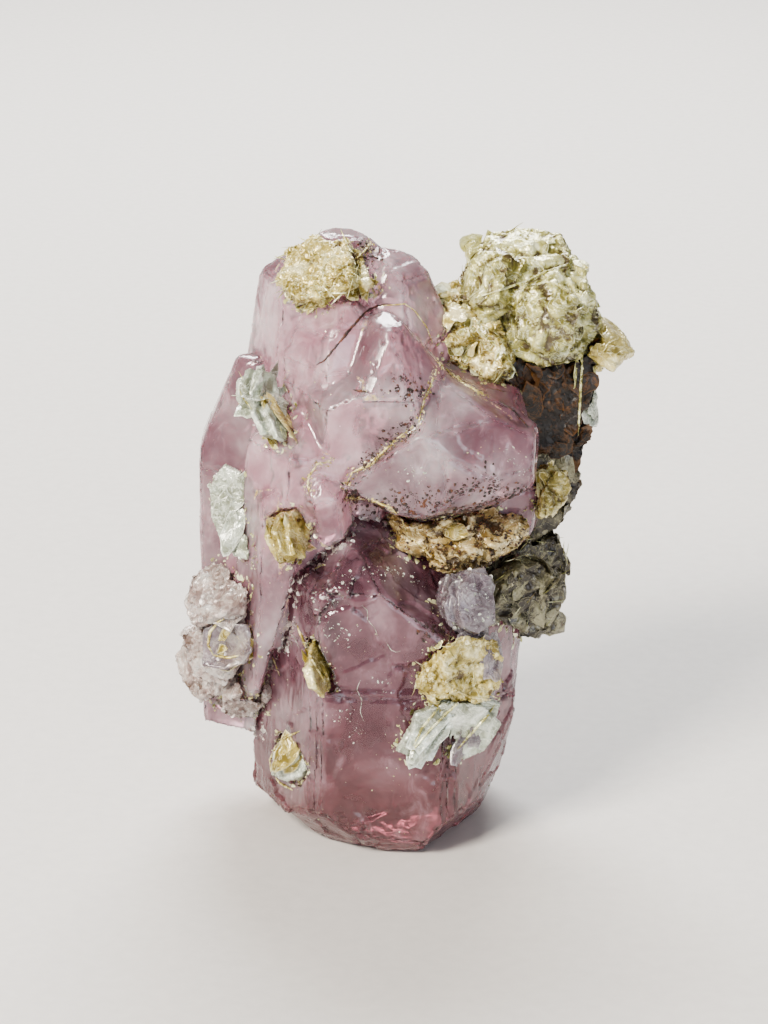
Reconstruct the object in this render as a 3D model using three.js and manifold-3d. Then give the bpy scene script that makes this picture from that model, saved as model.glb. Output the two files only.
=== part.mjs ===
// A cluster of pink apatite crystals grown together with books of muscovite mica, about 48 mm tall.
// Millimetres, +Z up. The origin is on the flat broken base, under the middle of the lower crystal.
// The front, where the lower crystal's widest face is, looks along -Y.
import * as THREE from "three";
import { mergeVertices } from "three/addons/utils/BufferGeometryUtils.js";
import Module from "manifold-3d";

const wasm = await Module();
wasm.setup();

// Driving dimensions
const SEAM = 0.3; // the parting left between two pieces that touch
const BLOCK = 90; // the raw block that each crystal is cut from
const CRUMB = 0.6; // a piece cut off that is smaller than this, in cubic millimetres, is dropped
const PLATE_SIDES = 8; // corners of a mica plate's outline
const LEAN_FIRST = 40.3; // apatite's first pyramid, degrees from the crystal's axis
const LEAN_SECOND = 55.7; // its second pyramid, which stands over the prism's edges
const LEAN_LOW = 22.9; // its flattest pyramid, next to the basal face

const vec = (p) => new THREE.Vector3(...p);

// A closed three.js geometry as a solid that can be cut and joined.
function solidOf(geometry) {
  const bare = new THREE.BufferGeometry();
  bare.setAttribute("position", geometry.getAttribute("position"));
  bare.setIndex(geometry.getIndex());
  const merged = mergeVertices(bare, 1e-4);
  const index = merged.index.array;
  const faces = [];
  for (let i = 0; i < index.length; i += 3) {
    const [a, b, c] = index.slice(i, i + 3);
    if (a !== b && b !== c && a !== c) faces.push(a, b, c);
  }
  return new wasm.Manifold(
    new wasm.Mesh({
      numProp: 3,
      vertProperties: new Float32Array(merged.attributes.position.array),
      triVerts: new Uint32Array(faces),
    }),
  );
}

// A solid as a flat-shaded three.js geometry.
function geometryOf(solid) {
  const mesh = solid.getMesh();
  const geometry = new THREE.BufferGeometry();
  const points = [];
  for (const v of mesh.triVerts) {
    const at = v * mesh.numProp;
    points.push(...mesh.vertProperties.slice(at, at + 3));
  }
  geometry.setAttribute("position", new THREE.Float32BufferAttribute(points, 3));
  geometry.computeVertexNormals();
  return geometry;
}

// Keeps what lies behind a plane through a point, moved outwards by grow.
function trim(solid, normal, through, grow = 0) {
  const n = normal.clone().normalize();
  const reach = n.dot(through) + grow;
  return solid.trimByPlane([-n.x, -n.y, -n.z], -reach);
}

// One hexagonal crystal. reach holds the distance from the axis to each of the six prism faces, the first
// at the angle turn. rings are pyramids: lean from the axis, and shoulder, the height at which each face
// starts; a ring with over: true stands over the prism's edges. chips are broken faces.
function crystal(form, grow) {
  const at = vec(form.at);
  const axis = vec(form.axis).normalize();
  const side = new THREE.Vector3(1, 0, 0).addScaledVector(axis, -axis.x).normalize();
  const back = new THREE.Vector3().crossVectors(axis, side);
  const radial = (degrees) => {
    const a = THREE.MathUtils.degToRad(degrees);
    return side.clone().multiplyScalar(Math.cos(a)).addScaledVector(back, Math.sin(a));
  };
  const block = new THREE.BoxGeometry(BLOCK, BLOCK, BLOCK).translate(at.x, at.y, at.z);
  let solid = solidOf(block);
  form.reach.forEach((reach, k) => {
    const out = radial(form.turn + 60 * k);
    solid = trim(solid, out, at.clone().addScaledVector(out, reach), grow);
  });
  solid = trim(solid, axis, at.clone().addScaledVector(axis, form.top), grow);
  solid = trim(solid, axis.clone().negate(), at.clone().addScaledVector(axis, -form.bottom), grow);
  for (const ring of form.rings ?? []) {
    const lean = THREE.MathUtils.degToRad(ring.lean);
    ring.shoulder.forEach((height, k) => {
      if (height === null) return;
      const out = radial(form.turn + 60 * k + (ring.over ? 30 : 0));
      const edge = ring.over
        ? Math.max(form.reach[k], form.reach[(k + 1) % 6]) / Math.cos(Math.PI / 6)
        : form.reach[k];
      const start = at.clone().addScaledVector(out, edge).addScaledVector(axis, height);
      const normal = out.clone().multiplyScalar(Math.sin(lean)).addScaledVector(axis, Math.cos(lean));
      solid = trim(solid, normal, start, grow);
    });
  }
  for (const [normal, through] of form.chips ?? []) {
    solid = trim(solid, vec(normal), vec(through), grow);
  }
  return solid;
}

// A seeded source of numbers from 0 to 1, so that every build gives the same mica.
function seeded(seed) {
  let state = seed * 7919 + 17;
  return () => {
    state = (state * 16807) % 2147483647;
    return state / 2147483647;
  };
}

// One mica plate: a thin disc with a broken outline, drooping by bend at its rim, stretched along one way.
function plate({ radius, thickness, stretch, bend, random }) {
  const profile = [
    [0, -thickness / 2],
    [radius, -thickness / 2],
    [radius, thickness / 2],
    [0, thickness / 2],
  ].map(([r, h]) => new THREE.Vector2(r, h));
  const disc = new THREE.LatheGeometry(profile, PLATE_SIDES);
  disc.rotateX(Math.PI / 2);
  const outline = Array.from({ length: PLATE_SIDES }, () => 0.74 + 0.46 * random());
  const place = disc.getAttribute("position");
  for (let i = 0; i < place.count; i += 1) {
    const corner = outline[Math.floor(i / profile.length) % PLATE_SIDES];
    const x = place.getX(i);
    const y = place.getY(i);
    const droop = bend * ((x * x + y * y) / radius ** 2) * corner;
    place.setXYZ(i, x * corner * stretch, (y * corner) / stretch, place.getZ(i) + droop);
  }
  return disc;
}

// A book of mica: plates stacked along facing, each a little shifted, turned and tilted.
function book(form, grow) {
  const random = seeded(form.seed);
  const facing = vec(form.facing).normalize();
  const upright = new THREE.Quaternion().setFromUnitVectors(new THREE.Vector3(0, 0, 1), facing);
  const pitch = form.depth / form.plates;
  const shift = form.shift ?? 0.16;
  let whole = null;
  for (let k = 0; k < form.plates; k += 1) {
    const share = form.plates > 1 ? k / (form.plates - 1) : 0.5;
    const size = THREE.MathUtils.lerp(form.taper?.[0] ?? 1, form.taper?.[1] ?? 1, share);
    const radius = form.radius * size * (0.86 + 0.24 * random());
    const disc = plate({
      radius: radius + grow,
      thickness: pitch * 1.2 + 2 * grow,
      stretch: form.stretch ?? 1,
      bend: form.bend ?? 0,
      random,
    });
    disc.rotateZ(THREE.MathUtils.degToRad(form.turn ?? 0) + (random() - 0.5) * 0.5);
    disc.rotateX((random() - 0.5) * (form.tilt ?? 0.12));
    disc.rotateY((random() - 0.5) * (form.tilt ?? 0.12));
    disc.translate(
      (random() - 0.5) * 2 * shift * radius,
      (random() - 0.5) * 2 * shift * radius,
      (k - (form.plates - 1) / 2) * pitch,
    );
    disc.applyQuaternion(upright);
    disc.translate(...form.at);
    const one = solidOf(disc);
    whole = whole ? whole.add(one) : one;
  }
  return whole;
}

const joined = (forms, make) => (grow) =>
  forms.map((form) => make(form, grow)).reduce((all, one) => all.add(one));
const crystals = (...forms) => joined(forms, crystal);
const books = (...forms) => joined(forms, book);

// Finishes, one material for each kind of surface
const finish = (color, roughness) => new THREE.MeshStandardMaterial({ color, roughness, metalness: 0 });
const PINK = finish(0xc9a0a8, 0.25);
const DEEP_PINK = finish(0xb07a85, 0.25);
const SILVER_MICA = finish(0xcfccbb, 0.35);
const GOLD_MICA = finish(0xd6c993, 0.4);
const BROWN_MICA = finish(0x6b4a24, 0.55);
const GREY_MICA = finish(0x9a917c, 0.5);

const FRONT_FACE = -90; // the first prism face of an upright crystal looks along -Y
const LYING_FRONT_FACE = 180; // and that of a crystal that lies along X
const all = (value) => Array(6).fill(value);

// The lower crystal, and the same crystal again with one face a step further out, lower down
const LOWER = {
  at: [-0.3, 0.4, 1.6],
  axis: [0.03, 0.01, 1],
  turn: FRONT_FACE,
  reach: [9.6, 9.4, 8.8, 8.6, 8.8, 9.5],
  top: 26.6,
  bottom: 5,
  rings: [
    { lean: LEAN_FIRST, shoulder: [20.8, 16.6, 17.5, 20, 20, 20.6] },
    { lean: LEAN_LOW, shoulder: [23.6, 20, 20, 22, 22, 23.2] },
    { lean: LEAN_SECOND, over: true, shoulder: [18.6, 15.5, 18, 20, 20, 20.2] },
  ],
  chips: [
    [[0, 0, -1], [0, 0, 0]],
    [[0.66, -0.42, -0.62], [7.6, -4.5, 2.6]],
    [[0.8, 0.1, -0.6], [9.4, 3, 3.6]],
    [[0.92, -0.3, -0.25], [10, -2, 8.4]],
    [[-0.6, -0.3, -0.74], [-8.9, -4.3, 2.6]],
    [[-0.45, -0.6, -0.66], [-4, -8, 1.8]],
    [[-0.1, -0.72, -0.7], [-2, -9.2, 1.7]],
    [[-0.3, 0.7, -0.65], [-2, 8.4, 3]],
  ],
};
const LOWER_STEP = {
  ...LOWER,
  reach: [9.95, 9.2, 8.6, 8.4, 8.6, 9.3],
  top: 13.4,
  rings: [{ lean: 62, shoulder: [12.2, 11, 11, 11, 11, 12] }],
};
const LOWER_SIDE_STEP = {
  ...LOWER,
  reach: [9.3, 9.75, 8.9, 8.4, 8.6, 9.8],
  top: 17.6,
  rings: [{ lean: 58, shoulder: [14, 9.5, 14, 14, 14, 16] }],
};

// The right crystal lies along X and points to the right. Its second form is the same crystal where it
// runs on to the left, under the middle one, and the third is a smaller one on its back.
const RIGHT_UNDER = [
  [[-0.47, -0.2, -0.86], [0.3, -6, 28.3]],
  [[0.15, -0.75, -0.64], [5, -6.6, 27.6]],
];
const RIGHT_MAIN = {
  at: [4, -1, 32],
  axis: [0.98, -0.12, -0.02],
  turn: LYING_FRONT_FACE - 4,
  reach: [6.1, 6, 5.8, 5.6, 5.8, 6],
  top: 8.1,
  bottom: 9,
  rings: [
    { lean: 72, shoulder: [1.5, 0, 0, 0, 0, 0.6] },
    { lean: LEAN_FIRST, shoulder: [6, 5.6, 5.4, 5.4, 5.4, 5.8] },
    { lean: 60, over: true, shoulder: [0.4, 0, 0, 0, -0.4, 0] },
  ],
  chips: [[[-0.96, -0.1, 0.27], [3.3, -5, 37.4]], ...RIGHT_UNDER],
};
const RIGHT = [
  RIGHT_MAIN,
  { ...RIGHT_MAIN, chips: [[[-0.66, -0.1, 0.75], [-0.2, -6, 32.7]], ...RIGHT_UNDER] },
  {
    at: [6.6, 0.8, 32.4],
    axis: [0.9, -0.1, -0.3],
    turn: LYING_FRONT_FACE + 20,
    reach: [4.8, 4.4, 4.4, 4.4, 4.6, 4.8],
    top: 5,
    bottom: 5,
    rings: [{ lean: LEAN_FIRST, shoulder: all(2.8) }],
    chips: [[[-0.93, -0.12, 0.36], [3.8, -5, 35.8]]],
  },
];

// The middle crystal leans forward over the lower one, with a blunt second point beside it
const MIDDLE = [
  {
    at: [0.6, 0.6, 27.6],
    axis: [0, -0.2, 0.98],
    turn: FRONT_FACE,
    reach: [4.9, 4, 3.9, 5, 4.8, 4.7],
    top: 15.6,
    bottom: 3,
    rings: [
      { lean: LEAN_SECOND, shoulder: [11, 11, 11, 11, 11, 10.6] },
      { lean: LEAN_FIRST, shoulder: [13.2, 13.4, 13, 13, 13, 13.4] },
      { lean: LEAN_FIRST, over: true, shoulder: all(12.7) },
    ],
    chips: [[[0, -0.59, -0.81], [0, -3.5, 28.7]]],
  },
  {
    at: [-2.3, 0.9, 25.6],
    axis: [0.02, -0.16, 0.98],
    turn: FRONT_FACE + 2,
    reach: [5.2, 5.6, 5.6, 5.6, 5.4, 4.9],
    top: 15.4,
    bottom: 2,
    rings: [{ lean: 32, shoulder: [13.2, 12, 12, 12, 12, 12] }],
    chips: [[[0, -0.59, -0.81], [0, -3.5, 28.7]]],
  },
];

// A small clear crystal in the corner between the lower, middle and front left ones
const BUD = [
  {
    at: [-4.6, -4.6, 28],
    axis: [-0.12, -0.45, 0.88],
    turn: FRONT_FACE + 10,
    reach: [1.9, 1.8, 1.7, 1.7, 1.7, 1.8],
    top: 3.8,
    bottom: 2.5,
    rings: [{ lean: LEAN_FIRST, shoulder: all(2.6) }],
  },
];

// The front left crystal, which narrows downwards where it lies against the lower one, and a shorter one
// that shares its side
const FRONT_LEFT = [
  {
    at: [-7.9, -2.4, 11.6],
    axis: [0.05, 0.03, 1],
    turn: FRONT_FACE - 10,
    reach: [4.3, 4.2, 4.2, 4.2, 4, 3.7],
    top: 22,
    bottom: 5,
    rings: [
      { lean: LEAN_FIRST, shoulder: [18, 19, 19, 19, 18, 17.5] },
      { lean: LEAN_SECOND, over: true, shoulder: all(17.6) },
    ],
    chips: [
      [[0.95, -0.1, -0.28], [-7, -5, 22.6]],
      [[0.6, -0.6, -0.5], [-9.6, -6, 12.6]],
      [[-0.15, -0.55, -0.82], [-9.6, -6.4, 13.2]],
    ],
  },
  {
    at: [-7.2, -1.4, 21.6],
    axis: [0.1, -0.05, 1],
    turn: FRONT_FACE + 16,
    reach: all(4.3),
    top: 14.4,
    bottom: 5,
    rings: [{ lean: LEAN_FIRST, shoulder: all(11.5) }],
  },
];

// The tall crystal behind them on the left, a pair that shares one top
const TALL_LEFT = [
  {
    at: [-8.8, 5.2, 13.6],
    axis: [0.155, 0.02, 0.98],
    turn: FRONT_FACE - 10,
    reach: [6, 5.6, 5.4, 5, 5.2, 5.4],
    top: 34.4,
    bottom: 6,
    rings: [
      { lean: LEAN_FIRST, shoulder: [30, 31.6, 31.4, 30, 30.5, 30.5] },
      { lean: LEAN_SECOND, over: true, shoulder: all(29.6) },
    ],
  },
  {
    at: [-6.4, 4.6, 15.6],
    axis: [0.1, 0.02, 0.98],
    turn: FRONT_FACE + 8,
    reach: all(4.6),
    top: 32.4,
    bottom: 6,
    rings: [
      { lean: LEAN_FIRST, shoulder: all(29.8) },
      { lean: LEAN_SECOND, over: true, shoulder: all(28.8) },
    ],
  },
];

// The crystal at the far left, with a steep shoulder
const SIDE = [
  {
    at: [-9.6, 3.2, 9.6],
    axis: [0, 0.01, 1],
    turn: FRONT_FACE + 30,
    reach: [5, 5, 5, 5, 5.2, 5],
    top: 28.5,
    bottom: 2,
    rings: [{ lean: 66, shoulder: [20, 21, 21, 21, 21.4, 20] }],
  },
];

// The rounded crystal at the top, and the lower one in front of it
const TOP = [
  {
    at: [0.6, 4.4, 29.6],
    axis: [0.05, -0.02, 1],
    turn: FRONT_FACE - 6,
    reach: [4.6, 3.9, 4, 4.4, 4.2, 4.2],
    top: 17.4,
    bottom: 4,
    rings: [
      { lean: 66, shoulder: [11.4, 10.6, 11, 11, 12, 12] },
      { lean: LEAN_FIRST, shoulder: [14.4, 13.6, 14, 14, 15, 15] },
      { lean: LEAN_LOW, shoulder: [16, 15, 15.5, 15.5, 16.2, 16.2] },
      { lean: LEAN_SECOND, over: true, shoulder: all(12.8) },
    ],
  },
  {
    at: [-3.4, 1.5, 29.6],
    axis: [0, -0.1, 1],
    turn: FRONT_FACE + 14,
    reach: [4.2, 4, 4.2, 4.2, 4.2, 4],
    top: 14.4,
    bottom: 4,
    rings: [
      { lean: 66, shoulder: [9.8, 9.8, 10, 10, 10, 9.8] },
      { lean: LEAN_FIRST, shoulder: [11.8, 12, 12, 12, 12, 11.4] },
      { lean: LEAN_SECOND, over: true, shoulder: all(11) },
    ],
  },
];

// A short crystal under the right one, broken off aslant above the mica
const REAR = [
  {
    at: [9.2, 2.4, 24],
    axis: [0.16, 0.02, 1],
    turn: FRONT_FACE + 18,
    reach: [3.3, 3, 3, 3, 3, 3.1],
    top: 8,
    bottom: 3,
    rings: [{ lean: LEAN_FIRST, shoulder: all(4.4) }],
    chips: [[[0.6, -0.25, -0.76], [10.1, -0.6, 23]]],
  },
];

// The pieces, in the order in which they keep their whole shape: each later piece is cut back by the
// earlier ones, and a seam is left between them.
const PIECES = [
  {
    name: "sliver_flake",
    material: GOLD_MICA,
    shape: books({
      at: [-5.2, -9.3, 16.5], facing: [0.88, -0.2, 0.43], radius: 2.3, depth: 0.62, plates: 2,
      stretch: 0.8, shift: 0.1, tilt: 0.05, seed: 21,
    }),
  },
  {
    name: "curved_flake",
    material: GOLD_MICA,
    shape: books({
      at: [-7.5, -6.6, 7.9], facing: [-0.66, -0.5, 0.55], radius: 2.3, depth: 0.7, plates: 2,
      bend: -0.8, shift: 0.12, seed: 22,
    }),
  },
  {
    name: "lower_crystal",
    material: DEEP_PINK,
    shape: crystals(LOWER, LOWER_STEP, LOWER_SIDE_STEP, {
      at: [5, 3.4, 1.6],
      axis: [0.05, 0.02, 1],
      turn: FRONT_FACE + 12,
      reach: all(5.1),
      top: 20.5,
      bottom: 5,
      rings: [{ lean: LEAN_FIRST, shoulder: all(16.5) }],
      chips: [
        [[0, 0, -1], [0, 0, 0.9]],
        [[0.8, 0.1, -0.6], [9.2, 3, 4]],
      ],
    }),
  },
  {
    name: "gold_wedge",
    material: GOLD_MICA,
    shape: books({
      at: [-7.5, -6.9, 26.6], facing: [0.82, -0.32, 0.46], radius: 2.1, depth: 1.9, plates: 4,
      stretch: 0.86, shift: 0.12, seed: 23,
    }),
  },
  {
    name: "upper_crystals",
    material: PINK,
    shape: crystals(...RIGHT, ...MIDDLE, ...BUD, ...FRONT_LEFT, ...TALL_LEFT, ...SIDE, ...TOP, ...REAR),
  },
  {
    name: "crown_book",
    material: SILVER_MICA,
    shape: books(
      {
        at: [11.9, 7.2, 44.2], facing: [0.05, -0.45, 0.9], radius: 4.7, depth: 3.2, plates: 4,
        bend: -0.8, seed: 3,
      },
      {
        at: [8.5, 5.2, 43.9], facing: [-0.5, -0.6, 0.62], radius: 2.6, depth: 2.8, plates: 3,
        bend: -0.5, seed: 8,
      },
      {
        at: [12.7, 4.1, 41.6], facing: [0.12, -0.92, 0.36], radius: 3.9, depth: 4.6, plates: 5,
        taper: [1.1, 0.7], bend: -0.6, seed: 5,
      },
    ),
  },
  {
    name: "crown_trunk_book",
    material: BROWN_MICA,
    shape: books({
      at: [12.7, 6.8, 35], facing: [0.3, -0.94, 0.05], radius: 4.9, depth: 5.4, plates: 5,
      stretch: 0.76, seed: 9,
    }),
  },
  {
    name: "wing_book",
    material: GOLD_MICA,
    shape: books(
      {
        at: [17.4, 7.2, 39.4], facing: [0.42, -0.2, 0.88], radius: 3, depth: 1.1, plates: 2,
        bend: -1.1, seed: 11,
      },
      {
        at: [16.4, 6.6, 37.5], facing: [0.2, -0.5, 0.84], radius: 2.1, depth: 1.9, plates: 2,
        seed: 12,
      },
    ),
  },
  {
    name: "trunk_edge_flake",
    material: SILVER_MICA,
    shape: books({
      at: [16.2, 7.6, 32.2], facing: [0.75, -0.6, 0.2], radius: 1.7, depth: 1.3, plates: 2,
      stretch: 0.8, seed: 13,
    }),
  },
  {
    name: "saddle_book",
    material: GOLD_MICA,
    shape: books(
      {
        at: [6.3, 5.2, 40.2], facing: [-0.15, -0.7, 0.7], radius: 3.3, depth: 3, plates: 3,
        tilt: 0.4, seed: 14,
      },
      {
        at: [7.9, 3.4, 37.8], facing: [-0.4, -0.85, 0.35], radius: 2.5, depth: 2.4, plates: 2,
        tilt: 0.4, seed: 15,
      },
      {
        at: [8.6, 5.6, 35.2], facing: [0.2, -0.9, 0.3], radius: 3.6, depth: 3.6, plates: 2,
        tilt: 0.3, seed: 16,
      },
    ),
  },
  {
    name: "nub_book",
    material: GOLD_MICA,
    shape: books({
      at: [12.9, 1.4, 27.6], facing: [0.7, -0.62, 0.34], radius: 2, depth: 2.2, plates: 3,
      stretch: 0.8, seed: 19,
    }),
  },
  {
    name: "matrix_upper_book",
    material: GREY_MICA,
    shape: books(
      {
        at: [11.4, 7.6, 26.6], facing: [0.45, -0.88, 0.12], radius: 4.2, depth: 6, plates: 4,
        stretch: 0.9, seed: 17,
      },
      {
        at: [4.2, 8.6, 29.6], facing: [-0.1, 0.98, 0.15], radius: 7.4, depth: 5.6, plates: 3,
        stretch: 0.86, seed: 27,
      },
    ),
  },
  {
    name: "matrix_lower_book",
    material: GREY_MICA,
    shape: books(
      {
        at: [11, 6.2, 18.9], facing: [0.5, -0.84, 0.1], radius: 4.3, depth: 5.6, plates: 4,
        stretch: 0.96, seed: 18,
      },
      {
        at: [10, 0.2, 19.6], facing: [0.5, -0.84, 0.1], radius: 2.9, depth: 4.6, plates: 3,
        stretch: 0.84, seed: 28,
      },
    ),
  },
  {
    name: "shelf_book",
    material: GOLD_MICA,
    shape: books(
      {
        at: [5.4, -4, 24.8], facing: [0.1, -0.5, 0.86], radius: 2.6, depth: 2, plates: 3,
        tilt: 0.3, seed: 20,
      },
      {
        at: [3.6, -1.8, 26.2], facing: [-0.3, -0.5, 0.82], radius: 2.9, depth: 3, plates: 2,
        tilt: 0.3, seed: 29,
      },
      {
        at: [8, -1.6, 25], facing: [0.3, -0.5, 0.82], radius: 2.6, depth: 3, plates: 2, tilt: 0.3,
        seed: 30,
      },
    ),
  },
  {
    name: "front_silver_book",
    material: SILVER_MICA,
    shape: books({
      at: [6.6, -7, 21], facing: [0.5, -0.82, 0.28], radius: 2.8, depth: 2.8, plates: 4, bend: -0.5,
      stretch: 0.92, taper: [1, 0.8], seed: 31,
    }),
  },
  {
    name: "front_gold_book",
    material: GOLD_MICA,
    shape: books({
      at: [6, -7.9, 15.6], facing: [0.52, -0.84, 0.12], radius: 3.2, depth: 2.2, plates: 3, bend: 0.6,
      stretch: 1.12, seed: 32,
    }),
  },
  {
    name: "front_ribbon_book",
    material: SILVER_MICA,
    shape: books({
      at: [5, -8.7, 11], facing: [0.4, -0.9, -0.15], radius: 3.1, depth: 1.6, plates: 3, stretch: 1.2,
      turn: 28, seed: 33,
    }),
  },
  {
    name: "left_silver_book",
    material: SILVER_MICA,
    shape: books({
      at: [-11.6, -2, 27], facing: [-0.3, -0.9, 0.28], radius: 3.3, depth: 2.6, plates: 4,
      stretch: 0.8, taper: [1, 0.8], seed: 34,
    }),
  },
  {
    name: "ring_flake",
    material: GOLD_MICA,
    shape: books({
      at: [-12.1, -4.6, 16.4], facing: [-0.22, -0.9, 0.36], radius: 2.2, depth: 0.9, plates: 2,
      bend: 0.7, stretch: 1.08, seed: 35,
    }),
  },
  {
    name: "left_crust",
    material: GREY_MICA,
    shape: books(
      {
        at: [-12.3, -2.8, 19.2], facing: [-0.5, -0.7, 0.5], radius: 2.6, depth: 3.4, plates: 2,
        tilt: 0.5, seed: 36,
      },
      {
        at: [-12.8, -2, 15.2], facing: [-0.4, -0.9, 0.1], radius: 3.1, depth: 3.8, plates: 3,
        tilt: 0.7, seed: 37,
      },
      {
        at: [-13.4, 0, 12.4], facing: [-0.7, -0.5, 0.4], radius: 2.9, depth: 3.6, plates: 3,
        tilt: 0.7, seed: 38,
      },
      {
        at: [-10.6, -1.6, 11.2], facing: [-0.2, -0.8, -0.5], radius: 2.4, depth: 3, plates: 3,
        tilt: 0.6, seed: 39,
      },
    ),
  },
  {
    name: "left_tuft_book",
    material: SILVER_MICA,
    shape: books(
      {
        at: [-9.6, -2.6, 36.8], facing: [0.6, -0.7, 0.4], radius: 2, depth: 1.6, plates: 3,
        tilt: 0.5, seed: 40,
      },
      {
        at: [-8.2, -3.6, 35], facing: [0.78, -0.3, 0.55], radius: 2.3, depth: 1.2, plates: 3,
        seed: 41,
      },
    ),
  },
  {
    name: "gold_patch_book",
    material: GOLD_MICA,
    shape: books({
      at: [-5.3, 0.9, 45.1], facing: [-0.12, -0.68, 0.72], radius: 2.9, depth: 2.4, plates: 4,
      tilt: 0.25, seed: 42,
    }),
  },
  {
    name: "seam_book",
    material: GOLD_MICA,
    shape: books({
      at: [-1.9, 1.4, 45.5], facing: [0.62, -0.4, 0.66], radius: 2.2, depth: 1.2, plates: 2, seed: 43,
    }),
  },
];

const root = new THREE.Group();
const placed = [];
for (const piece of PIECES) {
  let solid = piece.shape(0);
  for (const earlier of placed) solid = solid.subtract(earlier);
  placed.push(piece.shape(SEAM));
  const bodies = solid.decompose().filter((body) => body.volume() > CRUMB);
  if (!bodies.length) throw new Error(piece.name + " is wholly inside the earlier pieces");
  bodies.sort((a, b) => b.volume() - a.volume());
  const mesh = new THREE.Mesh(geometryOf(bodies[0]), piece.material);
  mesh.name = piece.name;
  root.add(mesh);
}

export default root;
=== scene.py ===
# Pink apatite crystals with books of muscovite mica: the finish of every face, flake and seam.
# Lengths are in metres in the specimen's own frame, +Z up and -Y to the front.
import math
import random

import bmesh
import bpy
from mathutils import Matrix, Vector
from mathutils.bvhtree import BVHTree


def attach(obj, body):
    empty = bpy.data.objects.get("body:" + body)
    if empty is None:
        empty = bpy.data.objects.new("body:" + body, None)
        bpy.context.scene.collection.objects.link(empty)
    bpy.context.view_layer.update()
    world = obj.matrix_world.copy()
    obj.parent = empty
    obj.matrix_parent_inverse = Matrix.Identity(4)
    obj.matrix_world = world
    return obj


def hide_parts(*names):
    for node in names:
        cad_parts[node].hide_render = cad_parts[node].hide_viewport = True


MM = 0.001

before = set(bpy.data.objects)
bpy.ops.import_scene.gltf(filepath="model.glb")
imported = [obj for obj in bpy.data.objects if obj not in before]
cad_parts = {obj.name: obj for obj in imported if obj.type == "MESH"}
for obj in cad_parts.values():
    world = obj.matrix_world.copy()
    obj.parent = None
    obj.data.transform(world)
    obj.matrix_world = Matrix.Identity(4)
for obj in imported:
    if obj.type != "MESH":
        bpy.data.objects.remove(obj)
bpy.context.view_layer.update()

# The camera stands where the photograph was taken from, and the photograph is 768 by 1024 pixels.
PHOTO_WIDTH, PHOTO_HEIGHT = 768, 1024
CAMERA_ELEVATION = math.radians(20)
CAMERA_DISTANCE = 260 * MM
CAMERA_TARGET = Vector((0, 0, 26.1)) * MM
PIXELS_PER_MM = 12.5  # at the target
SENSOR = 36.0
FOCAL_PIXELS = PIXELS_PER_MM * CAMERA_DISTANCE / MM
FORWARD = Vector((0, math.cos(CAMERA_ELEVATION), -math.sin(CAMERA_ELEVATION)))
UPWARD = Vector((0, math.sin(CAMERA_ELEVATION), math.cos(CAMERA_ELEVATION)))
CAMERA_PLACE = CAMERA_TARGET - FORWARD * CAMERA_DISTANCE


def make_camera():
    data = bpy.data.cameras.new("camera")
    data.sensor_width = SENSOR
    data.lens = FOCAL_PIXELS * SENSOR / PHOTO_HEIGHT
    data.clip_start, data.clip_end = 0.01, 10
    camera = bpy.data.objects.new("camera", data)
    camera.location = CAMERA_PLACE
    camera.rotation_mode = "QUATERNION"
    camera.rotation_quaternion = FORWARD.to_track_quat("-Z", "Y")
    bpy.context.scene.collection.objects.link(camera)
    bpy.context.scene.camera = camera


def photo_ray(x, y):
    """The direction from the camera through a pixel of the photograph."""
    across = Vector((1, 0, 0)) * (x - PHOTO_WIDTH / 2)
    up = UPWARD * (PHOTO_HEIGHT / 2 - y)
    return (FORWARD * FOCAL_PIXELS + across + up).normalized()


# Nodes and colours
def linear(code):
    """An sRGB hex colour as linear red, green, blue and alpha."""
    channels = [int(code[i : i + 2], 16) / 255 for i in (1, 3, 5)]
    return [c / 12.92 if c <= 0.04045 else ((c + 0.055) / 1.055) ** 2.4 for c in channels] + [1]


class Field:
    """A node's output. A sum written with it adds the nodes that work it out, for numbers and for
    directions alike, and @ is the dot product."""

    def __init__(self, tree, socket):
        self.tree, self.socket = tree, socket

    def output(self, name):
        return Field(self.tree, self.socket.node.outputs[name])

    def __add__(self, other):
        return reckoned("ADD", self, other)

    def __sub__(self, other):
        return reckoned("SUBTRACT", self, other)

    def __rsub__(self, other):
        return reckoned("SUBTRACT", other, self)

    def __mul__(self, other):
        return reckoned("MULTIPLY", self, other)

    def __truediv__(self, other):
        return reckoned("DIVIDE", self, other)

    def __rtruediv__(self, other):
        return reckoned("DIVIDE", other, self)

    def __pow__(self, other):
        return reckoned("POWER", self, other)

    def __gt__(self, other):
        return reckoned("GREATER_THAN", self, other)

    def __lt__(self, other):
        return reckoned("LESS_THAN", self, other)

    def __abs__(self):
        return reckoned("ABSOLUTE", self)

    def __floor__(self):
        return reckoned("FLOOR", self)

    def __matmul__(self, other):
        return add(self.tree, "ShaderNodeVectorMath", {0: self, 1: other}, "Value", operation="DOT_PRODUCT")


def add(tree, kind, inputs=None, output=0, **settings):
    """Adds a node with its settings, and gives one of its outputs. An input that is a Field is linked,
    and any other value is set."""
    node = tree.nodes.new(kind)
    for name, value in settings.items():
        setattr(node, name, value)
    for key, value in (inputs or {}).items():
        if isinstance(value, Field):
            tree.links.new(value.socket, node.inputs[key])
        else:
            node.inputs[key].default_value = value
    return None if output is None else Field(tree, node.outputs[output])


def is_direction(value):
    return value.socket.type == "VECTOR" if isinstance(value, Field) else isinstance(value, tuple)


def reckoned(operation, a, b=0.0):
    """One step of a sum of numbers, or of directions where either side is one."""
    tree = a.tree if isinstance(a, Field) else b.tree
    if not is_direction(a) and not is_direction(b):
        return add(tree, "ShaderNodeMath", {0: a, 1: b}, operation=operation)
    if operation == "MULTIPLY" and not is_direction(b):
        return add(tree, "ShaderNodeVectorMath", {0: a, "Scale": b}, operation="SCALE")
    return add(tree, "ShaderNodeVectorMath", {0: a, 1: b}, operation=operation)


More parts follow.
